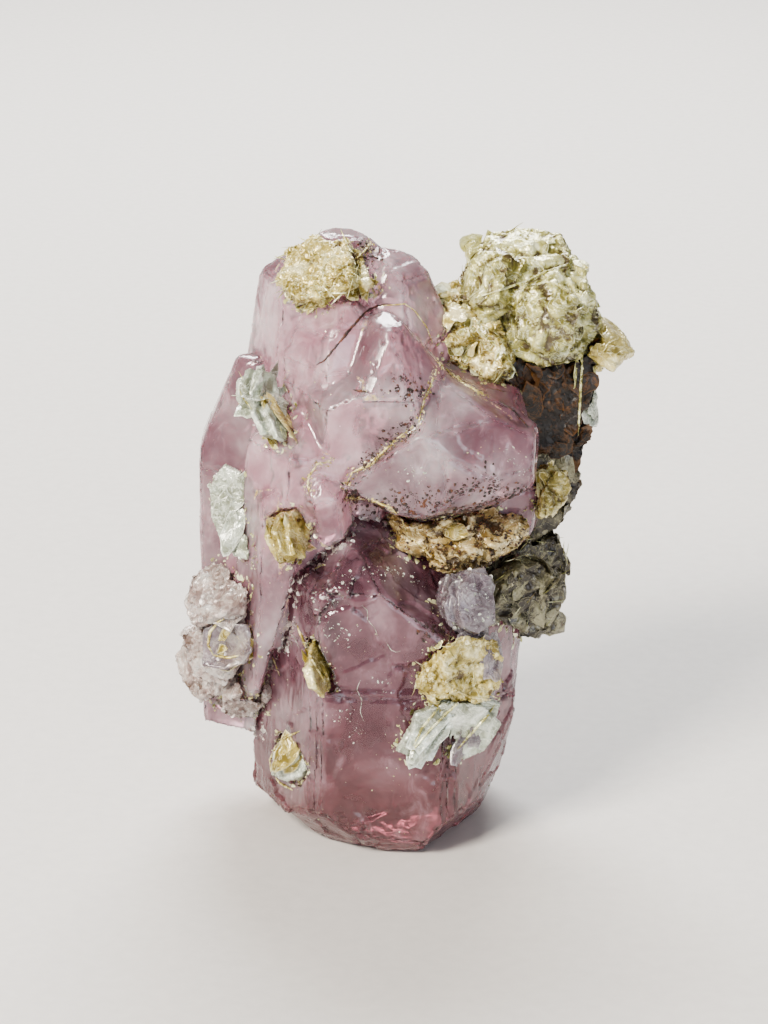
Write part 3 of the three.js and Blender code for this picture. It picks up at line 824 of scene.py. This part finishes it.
DROOPING = shape_set("drooping_sheets", [sheets_of((-0.5, -0.15))] * 8)
FLAT = shape_set("flat_sheets", [sheets_of((-0.12, 0.12))] * 8)
CUPPED = shape_set("cupped_sheets", [sheets_of((0.22, 0.45))] * 6)
SMALL = shape_set("small_flakes", [sheets_of((-0.3, 0.3), 0.07, 7, (0.6,))] * 8)
FLECKS = shape_set("tiny_flecks", [sheets_of((-0.1, 0.1), 0.12, 5, ())] * 6)
GRAINS = shape_set("iron_grains", [grain_mesh] * 4 + [curl_mesh] * 3)
NEEDLES = shape_set("needles", [needle_mesh] * 6)


# Pieces
HELPERS = bpy.data.collections.new("helpers")


def merged_solid(name, nodes):
    """The solids' meshes in one new mesh, each with its loose triangles merged."""
    whole = bmesh.new()
    for node in nodes:
        whole.from_mesh(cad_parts[node].data)
    bmesh.ops.remove_doubles(whole, verts=whole.verts, dist=0.001 * MM)
    return finished(whole, name)


def edge_lines(node, hollow):
    """A solid's sharp edges as loose lines: those that stand out, or the hollow ones."""
    whole = bmesh.new()
    whole.from_mesh(merged_solid(node, [node]))
    sharpest = 0.2
    wanted = []
    for edge in whole.edges:
        angle = edge.calc_face_angle_signed(0)
        if (-angle if hollow else angle) > sharpest:
            wanted.append([vertex.co.copy() for vertex in edge.verts])
    whole.free()
    lines = bpy.data.meshes.new(node + "_lines")
    points = [point for pair in wanted for point in pair]
    lines.from_pydata(points, [(2 * k, 2 * k + 1) for k in range(len(wanted))], [])
    return new_object(node + ("_hollow_edges" if hollow else "_edges"), lines, HELPERS)


def flatten_modifiers(piece, material=None):
    """Turns a piece's modifiers into plain mesh."""
    graph = bpy.context.evaluated_depsgraph_get()
    mesh = bpy.data.meshes.new_from_object(piece.evaluated_get(graph), depsgraph=graph)
    mesh.name = piece.name
    piece.modifiers.clear()
    piece.data = mesh
    if material is not None:
        mesh.materials.clear()
        mesh.materials.append(material)
    return piece


def add_nodes(piece, tree, values):
    modifier = piece.modifiers.new(tree.name, "NODES")
    modifier.node_group = tree
    set_inputs(modifier, values)


def remeshed(piece, voxel):
    modifier = piece.modifiers.new("fine", "REMESH")
    modifier.mode = "VOXEL"
    modifier.voxel_size = voxel
    modifier.use_smooth_shade = True


PIECES = []


def ride(piece, nodes=()):
    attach(piece, "root")
    if nodes:
        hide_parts(*nodes)
        PIECES.append(piece)


def crystal(node, material, voxel, **skin):
    """A crystal's flat faces, remeshed finely and given the marks of growth and wear."""
    piece = new_object(node + "_faces", merged_solid(node + "_faces", [node]))
    remeshed(piece, voxel)
    lines = {"Edges": edge_lines(node, False), "Hollow Edges": edge_lines(node, True)}
    add_nodes(piece, CRYSTAL_SKIN, {"Solid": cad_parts[node], **lines, **skin})
    flatten_modifiers(piece, material)
    return piece


def pile(at, facing, radius, depth, count, finish, sheets=FLAT, along=(1, 0, 0.2), **more):
    """The inputs for one pile of sheets, from millimetres."""
    values = {
        "Sheets": sheets,
        "Count": count,
        "Place": Vector(at) * MM,
        "Facing": Vector(facing).normalized(),
        "Along": Vector(along).normalized(),
        "Radius": radius * MM,
        "Depth": depth * MM,
        "Material": finish,
    }
    values.update(more)
    return values


def mica_book(node, slot, finish, seed, facing, piles, loose, voxel=0.15 * MM, **skin):
    """A book of mica: its solid with ragged layers, piles of thin sheets on it, and loose flakes."""
    piece = new_object(node + "_sheets", merged_solid(node + "_sheets", [node]))
    facing = Vector(facing).normalized()
    remeshed(piece, voxel)
    shift = Vector((seed * 3.1, seed * 5.7, seed * 1.9)) * MM
    solid = {"Solid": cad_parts[node], "Facing": facing, "Shift": shift}
    add_nodes(piece, MICA_SKIN, {**solid, **skin})
    flatten_modifiers(piece, finish)
    for number, values in enumerate(loose):
        drawn = {"Facing": facing, "Seed": 10 * seed + number, "Material": finish}
        add_nodes(piece, LOOSE_FLAKES, {**drawn, **values})
    for number, values in enumerate(piles):
        add_nodes(piece, MICA_PILE, {"Seed": 20 * seed + number, **values})
    flatten_modifiers(piece)
    ride(piece, [node])
    return piece


def strewn(name, surface, tree, slot, **values):
    """Small shapes on a piece's surface, as a piece of their own."""
    piece = new_object(name, surface.data.copy())
    add_nodes(piece, tree, values)
    flatten_modifiers(piece)
    ride(piece)
    return piece


make_camera()

lower = crystal(
    "lower_crystal",
    DEEP_PINK_APATITE,
    0.17 * MM,
    **{
        "Wave": 0.14 * MM, "Terrace": 0.08 * MM, "Fractures": 0.13, "Streak": 0.22 * MM,
        "Foot Streak": 0.24 * MM,
    },
)
upper = crystal(
    "upper_crystals",
    PINK_APATITE,
    0.22 * MM,
    **{
        "Wave": 0.12 * MM, "Terrace": 0.03 * MM, "Crust": 0.7, "Streak": 0.1 * MM,
        "Streak Left Of": -5 * MM,
    },
)
ride(lower, ["lower_crystal"])
ride(upper, ["upper_crystals"])

# Loose flakes and fibres on the books
LEAVES = {
    "Shapes": DROOPING, "Per Square Millimetre": 0.22, "Smallest": 0.6 * MM, "Largest": 1.5 * MM,
    "Tilt": 0.5, "Hug": 5.0, "Rarity": 1.4,
}
SLEEK = {"Lobes": 0.3 * MM, "Crinkle": 0.8 * MM, "Facets": 0.06, "Steps": 0.1 * MM}
SCALES = {
    "Shapes": SMALL, "Per Square Millimetre": 0.8, "Smallest": 0.12 * MM, "Largest": 0.6 * MM, "Tilt": 0.5
}
SUGAR = {
    "Shapes": SMALL, "Per Square Millimetre": 4.0, "Smallest": 0.06 * MM, "Largest": 0.35 * MM, "Tilt": 1.2
}
FIBRES = {
    "Shapes": NEEDLES, "Per Square Millimetre": 0.35, "Smallest": 0.4 * MM, "Largest": 1.3 * MM,
    "Tilt": 0.5, "Hug": 3.0,
}
PALE_FIBRES = {**FIBRES, "Material": SILVER_MICA}
STRAYING = {"Shift": 0.6, "Tilt": 0.45}


def make_crown():
    mica_book(
        "crown_book", "silver_mica", SILVER_MICA, 1, (0.08, -0.7, 0.65),
        [
            pile((11.9, 7.2, 43.6), (0.05, -0.45, 0.9), 2.6, 1.6, 4, AQUA_MICA, DROOPING, Tilt=0.1),
            pile((8.5, 5.4, 43.4), (-0.5, -0.6, 0.62), 1.6, 1.6, 4, SILVER_MICA, DROOPING, Tilt=0.1),
            pile((12.7, 4.9, 41.4), (0.12, -0.92, 0.36), 2.2, 2.6, 5, SILVER_MICA, DROOPING, Tilt=0.1),
        ],
        [
            {**LEAVES, "Per Square Millimetre": 0.1, "Tilt": 0.25},
            {**PALE_FIBRES, "Per Square Millimetre": 0.2, "Hug": 8.0},
        ],
        0.14 * MM,
        Lobes=2.2 * MM,
        Crinkle=1.6 * MM,
        Facets=0.04,
        Steps=0.06 * MM,
    )
    # The trunk: iron-stained mica, painted near black as the shade under the crown.
    mica_book(
        "crown_trunk_book", "brown_mica", STAINED_MICA_IN_PAINTED_SHADE, 2, (0.3, -0.94, 0.05),
        [
            pile((12.7, 6.8, 35), (0.3, -0.94, 0.05), 3, 5.6, 9, STAINED_MICA_IN_PAINTED_SHADE, FLAT, (0, 0, 1),
                 Stretch=1.3, Spin=0.5, Shift=0.6, Tilt=0.35),
            pile((15.4, 5.4, 37), (0.8, -0.6, 0.1), 1.9, 1.6, 7, SILVER_MICA, FLAT, (0, 0, 1),
                 Stretch=1.6, Spin=0.3, Shift=0.5, Tilt=0.3),
        ],
        [SCALES, {**LEAVES, "Per Square Millimetre": 0.3}],
    )
    mica_book(
        "wing_book", "gold_mica", GOLD_MICA, 3, (0.42, -0.2, 0.88),
        [
            pile((17.4, 7.2, 39.3), (0.42, -0.2, 0.88), 2.4, 1, 6, GOLD_MICA, DROOPING, Tilt=0.12),
            pile((16.4, 6.4, 37.6), (0.2, -0.5, 0.84), 1.6, 2, 7, SILVER_MICA, FLAT, **STRAYING),
        ],
        [],
        **SLEEK,
    )
    mica_book(
        "trunk_edge_flake", "silver_mica", AQUA_MICA, 4, (0.75, -0.6, 0.2),
        [pile((16.2, 7.6, 32.2), (0.75, -0.6, 0.2), 1.6, 1.3, 6, AQUA_MICA, FLAT, (0, 0, 1), Spin=0.4)],
        [],
        **SLEEK,
    )
    mica_book(
        "saddle_book", "gold_mica", GOLD_MICA, 5, (-0.2, -0.8, 0.5),
        [
            pile((6.3, 5, 40.2), (-0.15, -0.7, 0.7), 1.5, 3, 12, GOLD_MICA, DROOPING, Shift=0.9, Tilt=0.5),
            pile((7.9, 3.2, 37.8), (-0.4, -0.85, 0.35), 1.3, 2.6, 11, GOLD_MICA, DROOPING, Shift=0.9,
                 Tilt=0.5),
            pile((8.6, 4.6, 35.4), (0.2, -0.9, 0.3), 1.5, 3.2, 11, GOLD_MICA, DROOPING, Shift=0.9, Tilt=0.5),
        ],
        [SUGAR, {**SCALES, "Material": SILVER_MICA, "Largest": 0.9 * MM}, PALE_FIBRES],
        Lobes=2 * MM,
        Crinkle=2.4 * MM,
        Facets=0.12,
    )


def make_matrix():
    mica_book(
        "nub_book", "gold_mica", GOLD_MICA, 6, (0.7, -0.62, 0.34),
        [pile((12.9, 1.4, 27.6), (0.7, -0.62, 0.34), 1.9, 2.2, 8, GOLD_MICA, DROOPING)],
        [SCALES],
    )
    mica_book(
        "matrix_upper_book", "grey_mica", GREY_MICA, 7, (0.3, -0.9, 0.12),
        [
            pile((11.4, 7, 26.6), (0.45, -0.88, 0.12), 2.6, 6, 12, GREY_MICA, FLAT, **STRAYING),
            pile((4.2, 9.4, 29.6), (-0.1, 0.98, 0.15), 4.2, 5, 16, GREY_MICA, DROOPING, **STRAYING),
        ],
        [LEAVES, SCALES],
    )
    mica_book(
        "matrix_lower_book", "grey_mica", GREY_MICA, 8, (0.5, -0.84, 0.1),
        [
            pile((11, 6.2, 18.9), (0.5, -0.84, 0.1), 2.7, 5.6, 12, GREY_MICA, FLAT, **STRAYING),
            pile((10, 0.2, 19.6), (0.5, -0.84, 0.1), 1.9, 4.6, 9, GREY_MICA, DROOPING, (0, 0, 1)),
        ],
        [{**LEAVES, "Largest": 1.6 * MM}, SCALES, {**PALE_FIBRES, "Per Square Millimetre": 0.25}],
    )
    mica_book(
        "shelf_book", "gold_mica", DOTTED_MICA, 9, (0.1, -0.5, 0.86),
        [
            pile((5.4, -4, 24.8), (0.1, -0.5, 0.86), 1.2, 1.8, 7, GOLD_MICA, FLAT, **STRAYING),
            pile((8, -1.6, 25), (0.3, -0.5, 0.82), 1.2, 2.4, 7, DOTTED_MICA, FLAT, **STRAYING),
        ],
        [SUGAR, {**SUGAR, "Shapes": GRAINS, "Per Square Millimetre": 2.0, "Material": IRON_OXIDE}],
        Facets=0.12,
    )


def make_front():
    leg = (-0.62, 0, -0.78)
    mica_book(
        "front_silver_book", "silver_mica", CLEAR_MICA, 10, (0.5, -0.82, 0.28),
        [
            pile((6.6, -7, 21), (0.5, -0.82, 0.28), 2, 2.4, 8, CLEAR_MICA, DROOPING, Shift=0.4),
            pile((7.2, -7.3, 18.3), (0.6, -0.78, 0.2), 1.9, 1.8, 6, CLEAR_MICA, DROOPING, Shift=0.4),
        ],
        [{**SUGAR, "Per Square Millimetre": 2.0, "Largest": 0.25 * MM, "Material": AQUA_MICA}],
        **SLEEK,
    )
    mica_book(
        "front_gold_book", "gold_mica", GOLD_MICA, 11, (0.52, -0.84, 0.12),
        [
            pile((6, -7.9, 15.6), (0.52, -0.84, 0.12), 2.3, 1.4, 5, GOLD_MICA, CUPPED, Shift=0.2, Tilt=0.15),
            pile((7.8, -7, 16.4), (0.7, -0.7, 0.1), 2, 2.4, 7, CLEAR_MICA, DROOPING, (0.3, 0, 1),
                 Stretch=1.3, Spin=0.5, Shift=0.4),
        ],
        [{**SCALES, "Per Square Millimetre": 0.6, "Largest": 0.4 * MM}, PALE_FIBRES],
        Lobes=1.2 * MM,
        Crinkle=3 * MM,
        Facets=0.05,
        Steps=0.1 * MM,
    )
    mica_book(
        "front_ribbon_book", "silver_mica", AQUA_MICA, 12, (0.4, -0.9, -0.15),
        [
            pile((4, -9.2, 11.4), (0.3, -0.9, 0.3), 2.4, 1, 6, AQUA_MICA, FLAT, leg, Stretch=1.6, Spin=0.2),
            pile((7, -8, 11.4), (0.5, -0.85, 0.2), 2.3, 1, 6, CLEAR_MICA, FLAT, leg, Stretch=1.6, Spin=0.2),
        ],
        [],
        **SLEEK,
    )


def make_left():
    mica_book(
        "left_silver_book", "silver_mica", AQUA_MICA, 13, (-0.3, -0.9, 0.28),
        [
            pile((-11.6, -2.4, 27), (-0.3, -0.9, 0.28), 2.3, 2.2, 8, AQUA_MICA, FLAT, (0.5, 0, 0.86),
                 Stretch=1.4, Spin=0.4, Shift=0.5, Tilt=0.3),
        ],
        [SUGAR],
        **SLEEK,
    )
    mica_book(
        "ring_flake", "gold_mica", CLEAR_MICA, 14, (-0.22, -0.9, 0.36),
        [pile((-12.1, -5, 16.4), (-0.22, -0.9, 0.36), 2, 0.5, 4, GOLD_MICA, CUPPED, Shift=0.06, Tilt=0.08)],
        [],
        **SLEEK,
    )
    mica_book(
        "left_crust", "grey_mica", CRUST_MICA, 15, (-0.5, -0.8, 0.2),
        [
            pile((-12.4, -3, 19.2), (-0.5, -0.7, 0.5), 2.2, 3, 8, CRUST_MICA, FLAT, Tilt=0.9),
            pile((-12.8, -2, 15.2), (-0.4, -0.9, 0.1), 2.7, 3.6, 9, CRUST_MICA, FLAT, Tilt=0.9),
        ],
        [{**SUGAR, "Material": CRUST_MICA}],
    )
    mica_book(
        "left_tuft_book", "silver_mica", AQUA_MICA, 16, (0.7, -0.5, 0.5),
        [
            pile((-9.6, -2.8, 36.8), (0.6, -0.7, 0.4), 1.8, 1.6, 8, AQUA_MICA, FLAT, (0.3, 0, 0.95),
                 Stretch=1.5, Spin=0.9, Tilt=0.6),
            pile((-8.2, -3.8, 35), (0.78, -0.3, 0.55), 2.1, 1.2, 7, GOLD_MICA, FLAT, (0.6, 0, -0.8),
                 Stretch=1.5, Spin=0.4),
        ],
        [PALE_FIBRES],
        **SLEEK,
    )
    mica_book(
        "gold_patch_book", "gold_mica", GOLD_MICA, 17, (-0.12, -0.68, 0.72),
        [
            pile((-5.3, 0.9, 44.9), (-0.12, -0.68, 0.72), 1.7, 0.7, 10, GOLD_MICA, FLAT, (0.5, 0, 0.86),
                 Stretch=1.8, Spin=0.3, Shift=0.45, Tilt=0.16),
        ],
        [{**SCALES, "Largest": 0.45 * MM}, {**PALE_FIBRES, "Per Square Millimetre": 1.4}],
        Lobes=0.7 * MM,
        Crinkle=3.2 * MM,
        Facets=0.08,
    )
    mica_book(
        "seam_book", "gold_mica", GOLD_MICA, 18, (0.62, -0.4, 0.66),
        [
            pile((-1.9, 1.2, 45.5), (0.62, -0.4, 0.66), 2, 1.1, 6, GOLD_MICA, FLAT, (0.6, 0, 0.8),
                 Stretch=1.5, Spin=0.4),
        ],
        [SCALES],
    )
    mica_book(
        "gold_wedge", "gold_mica", GOLD_MICA, 19, (0.82, -0.32, 0.46),
        [
            pile((-7.5, -7, 26.6), (0.82, -0.32, 0.46), 1.9, 1.5, 9, GOLD_MICA, FLAT, (0.4, 0.3, -0.85),
                 Stretch=1.5, Spin=0.2, Shift=0.1),
        ],
        [],
        **SLEEK,
    )
    mica_book(
        "sliver_flake", "gold_mica", GOLD_MICA, 20, (0.88, -0.2, 0.43),
        [
            pile((-5.2, -9.4, 16.5), (0.88, -0.2, 0.43), 1.6, 0.5, 5, GOLD_MICA, FLAT, (0.5, 0, -0.86),
                 Stretch=1.5, Spin=0.1, Shift=0.05),
        ],
        [],
        **SLEEK,
    )
    mica_book(
        "curved_flake", "gold_mica", AQUA_MICA, 21, (-0.66, -0.5, 0.55),
        [pile((-7.5, -6.8, 7.9), (-0.66, -0.5, 0.55), 2, 0.6, 4, GOLD_MICA, CUPPED, Shift=0.08, Tilt=0.1)],
        [],
        **SLEEK,
    )


make_crown()
make_matrix()
make_front()
make_left()


# What lies in the seams and along the torn rims. The lines are laid by the photograph's pixels onto the
# pieces that the camera sees behind them.
GOLD_SEAM_LINES = [
    [(372, 238), (366, 250), (352, 262), (340, 274), (330, 292), (322, 304)],
    [(436, 370), (431, 384), (424, 400), (417, 430)],
    [(412, 428), (398, 438), (385, 450), (370, 466), (352, 472), (345, 490)],
    [(345, 497), (370, 500), (392, 508), (402, 520), (408, 536), (420, 545), (434, 560)],
    [(330, 462), (317, 464), (308, 478), (309, 496)],
    [(437, 362), (465, 385), (490, 398)],
]
GOLD_RIM_LINES = [
    [(378, 306), (405, 304), (415, 311), (427, 328), (435, 350)],
    [(310, 572), (322, 565), (330, 565)],
    [(272, 655), (277, 668), (281, 680)],
]
GOLD_BLADE_LINES = [
    [(297, 625), (305, 645), (316, 668), (327, 685)],
    [(300, 731), (286, 737), (276, 747), (270, 760), (271, 772), (280, 783), (296, 792)],
    [(213, 655), (208, 645), (210, 632), (218, 622), (228, 617)],
    [(213, 655), (228, 658), (242, 655)],
    [(440, 700), (455, 690), (470, 697), (490, 700), (503, 690)],
]
IRON_LINES = [
    [(392, 303), (376, 306), (365, 312), (353, 326), (343, 338), (334, 349), (324, 361), (312, 367)],
    [(353, 390), (373, 393)],
    [(498, 400), (515, 412), (530, 430)],
]
SILVER_BLADE_LINES = [
    [(462, 700), (448, 712), (430, 730), (415, 748), (408, 756)],
    [(440, 706), (422, 728), (412, 750)],
    [(500, 697), (488, 715), (470, 735), (455, 752)],
    [(580, 298), (588, 290), (597, 283)],
    [(470, 300), (500, 290), (525, 282), (545, 272), (575, 262)],
    [(500, 345), (520, 380)],
    [(478, 330), (500, 350)],
    [(505, 340), (490, 372)],
    [(583, 345), (580, 400), (578, 440)],
]
WHITE_CRACK_LINES = [
    [(362, 605), (368, 611), (367, 619), (374, 627), (380, 640)],
    [(345, 590), (352, 600)],
    [(360, 680), (357, 690), (362, 700), (360, 712), (366, 725)],
    [(385, 640), (391, 650), (396, 652), (405, 650)],
    [(292, 632), (302, 655)],
]
SPARKLE_LINES = [
    [(315, 600), (335, 590), (352, 580), (365, 572)],
    [(360, 577), (385, 572), (402, 575), (420, 583)],
    [(320, 612), (345, 598)],
    [(325, 625), (340, 640), (350, 628)],
    [(376, 680), (388, 690)],
    [(340, 717), (352, 722), (357, 738)],
    [(410, 470), (420, 480)],
    [(510, 455), (530, 475)],
]
SPECK_LINES = [
    [(345, 494), (375, 506), (405, 504), (437, 502), (462, 492), (486, 478)],
    [(398, 522), (425, 520), (450, 514), (480, 505), (505, 497)],
    [(490, 486), (505, 491), (522, 494)],
    [(398, 384), (412, 386), (424, 392), (414, 398)],
    [(410, 430), (396, 440), (384, 452), (368, 466)],
    [(355, 272), (372, 246)],
    [(430, 632), (450, 638), (470, 645)],
]


def photo_lines(name, lines, surfaces):
    """Pixel lines of the photograph laid on the first surface that the camera sees behind them."""
    points, edges = [], []
    for line in lines:
        last = None
        for (x0, y0), (x1, y1) in zip(line, line[1:]):
            steps = max(1, round(math.dist((x0, y0), (x1, y1)) / 4))
            for k in range(steps):
                ray = photo_ray(x0 + (x1 - x0) * k / steps, y0 + (y1 - y0) * k / steps)
                hits = [tree.ray_cast(CAMERA_PLACE, ray) for tree in surfaces]
                hits = [hit for hit in hits if hit[0] is not None]
                if not hits:
                    last = None
                    continue
                points.append(min(hits, key=lambda hit: hit[3])[0])
                if last is not None and (points[last] - points[-1]).length < 2 * MM:
                    edges.append((last, len(points) - 1))
                last = len(points) - 1
    mesh = bpy.data.meshes.new(name)
    mesh.from_pydata(points, edges, [])
    return new_object(name, mesh, HELPERS)


def bead(name, slot, material, lines, radius, **more):
    """A crust or blade along lines, as a piece of its own."""
    piece = new_object(name, photo_lines(name + "_path", lines, surfaces).data.copy())
    add_nodes(piece, LINE_CRUST, {"Radius": radius * MM, "Material": material, **more})
    flatten_modifiers(piece)
    ride(piece)


graph = bpy.context.evaluated_depsgraph_get()
surfaces = [BVHTree.FromObject(piece, graph) for piece in PIECES]
seam_lines = photo_lines("seam_lines", GOLD_SEAM_LINES, surfaces)
speck_lines = photo_lines("speck_lines", SPECK_LINES, surfaces)
sparkle_lines = photo_lines("sparkle_lines", SPARKLE_LINES, surfaces)
mica_nodes = [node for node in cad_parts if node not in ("upper_crystals", "lower_crystal")]
mica_solids = new_object("mica_solids", merged_solid("mica_solids", mica_nodes), HELPERS)

bead("gold_seams", "gold_mica", GOLD_MICA, GOLD_SEAM_LINES, 0.09, Rough=0.36 * MM)
bead("gold_rims", "gold_mica", GOLD_MICA, GOLD_RIM_LINES, 0.07, Rough=0.1 * MM)
bead("gold_blades", "gold_mica", GOLD_MICA, GOLD_BLADE_LINES, 0.13, Rough=0.06 * MM)
bead("iron_seams", "brown_mica", IRON_OXIDE, IRON_LINES, 0.1, Rough=0.26 * MM)
bead("silver_blades", "silver_mica", SILVER_MICA, SILVER_BLADE_LINES, 0.12, Rough=0.12 * MM)
bead("white_cracks", "silver_mica", AQUA_MICA, WHITE_CRACK_LINES, 0.026, Rough=0.2 * MM)

strewn(
    "upper_seam_crust", upper, STREWN_NEAR_LINES, "gold_mica",
    **{
        "Shapes": SMALL, "Near": seam_lines, "Reach": 0.5 * MM, "Per Square Millimetre": 52.0,
        "Smallest": 0.04 * MM, "Largest": 0.19 * MM, "Tilt": 1.1, "Seed": 3, "Material": GOLD_MICA,
    },
)
for name, surface, other in (("upper", upper, "lower_crystal"), ("lower", lower, "upper_crystals")):
    strewn(
        name + "_iron_specks", surface, STREWN_NEAR_LINES, "brown_mica",
        **{
            "Shapes": GRAINS, "Near": speck_lines, "Reach": 1.6 * MM, "Per Square Millimetre": 20.0,
            "Smallest": 0.07 * MM, "Largest": 0.34 * MM, "Tilt": 0.2, "Rarity": 2.4, "Seed": 5,
            "Material": IRON_OXIDE,
        },
    )
    strewn(
        name + "_sparkles", surface, STREWN_NEAR_LINES, "silver_mica",
        **{
            "Shapes": FLECKS, "Near": sparkle_lines, "Reach": 1.2 * MM, "Per Square Millimetre": 18.0,
            "Smallest": 0.02 * MM, "Largest": 0.2 * MM, "Tilt": 0.9, "Rarity": 3.4, "Seed": 6,
            "Material": AQUA_MICA,
        },
    )
    strewn(
        name + "_contact_crust", surface, STREWN_NEAR_SOLIDS, "gold_mica",
        **{
            "Shapes": SMALL, "Near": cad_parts[other], "Reach": 0.75 * MM, "Clearance": 0.34 * MM,
            "Per Square Millimetre": 40.0, "Smallest": 0.1 * MM, "Largest": 0.4 * MM, "Tilt": 1.0,
            "Seed": 7, "Material": CRUST_MICA,
        },
    )
    strewn(
        name + "_book_crust", surface, STREWN_NEAR_SOLIDS, "silver_mica",
        **{
            "Shapes": SMALL, "Near": mica_solids, "Reach": 0.95 * MM, "Clearance": 0.34 * MM,
            "Per Square Millimetre": 14.0, "Smallest": 0.07 * MM, "Largest": 0.4 * MM, "Tilt": 0.7,
            "Seed": 9, "Material": SILVER_MICA,
        },
    )
    strewn(
        name + "_flecks", surface, STREWN, "silver_mica",
        **{
            "Shapes": FLECKS, "Per Square Millimetre": 0.4, "Smallest": 0.03 * MM, "Largest": 0.12 * MM,
            "Tilt": 0.8, "Rarity": 3.0, "Seed": 13, "Material": SILVER_MICA,
        },
    )
    strewn(
        name + "_fracture_veils", surface, STREWN, "pink_apatite",
        **{
            "Shapes": FLAT, "Per Square Millimetre": 0.025, "Smallest": 0.5 * MM, "Largest": 1.3 * MM,
            "Tilt": 2.0, "Least Sunk": 1.3 * MM, "Most Sunk": 2.4 * MM, "Seed": 11,
            "Material": FRACTURE_VEIL,
        },
    )


# Floor and light
def make_stage():
    """A pale sweep: a floor that curves up into a backdrop."""
    half, depth, rise, radius, steps = 0.9, 0.7, 0.9, 0.35, 16
    profile = [(-0.6, 0.0), (depth - radius, 0.0)]
    for k in range(1, steps + 1):
        a = math.pi / 2 * k / steps
        profile.append((depth - radius + radius * math.sin(a), radius - radius * math.cos(a)))
    profile.append((depth, rise))
    mesh = bpy.data.meshes.new("floor")
    vertices = [(x, y, z) for y, z in profile for x in (-half, half)]
    faces = [(2 * k, 2 * k + 1, 2 * k + 3, 2 * k + 2) for k in range(len(profile) - 1)]
    mesh.from_pydata(vertices, [], faces)
    for face in mesh.polygons:
        face.use_smooth = True
    floor = new_object("floor", mesh)
    material, place = new_material("pale_matt_card")
    colour = shades(blots(place, 1.2 * MM, 3), [(0.3, "#d9d6d2"), (0.7, "#dedbd7")])
    card = add(place.tree, "ShaderNodeBsdfPrincipled", {"Base Color": colour, "Roughness": 0.8})
    mesh.materials.append(shown(material, card))


def softbox(name, place, size, power, colour="#ffffff"):
    data = bpy.data.lights.new(name, "AREA")
    data.shape = "RECTANGLE"
    data.size, data.size_y = size
    data.energy = power
    data.color = linear(colour)[:3]
    lamp = bpy.data.objects.new(name, data)
    lamp.location = place
    toward = Vector((0, 0, 0.025)) - Vector(place)
    lamp.rotation_mode = "QUATERNION"
    lamp.rotation_quaternion = toward.to_track_quat("-Z", "Y")
    bpy.context.scene.collection.objects.link(lamp)


def make_light():
    softbox("key", (-0.32, -0.36, 0.42), (0.2, 0.2), 6.0, "#fff6ea")
    softbox("fill", (0.26, -0.56, 0.12), (0.4, 0.4), 1.7, "#eef3ff")
    softbox("top_back", (0.0, 0.34, 0.36), (0.3, 0.16), 3.2)
    world = bpy.data.worlds.new("studio")
    world.use_nodes = True
    background = world.node_tree.nodes["Background"]
    background.inputs["Color"].default_value = linear("#dfe2e6")
    background.inputs["Strength"].default_value = 0.28
    bpy.context.scene.world = world


make_stage()
make_light()
bpy.context.scene.view_settings.view_transform = "AgX"
bpy.context.scene.view_settings.look = "AgX - Medium High Contrast"
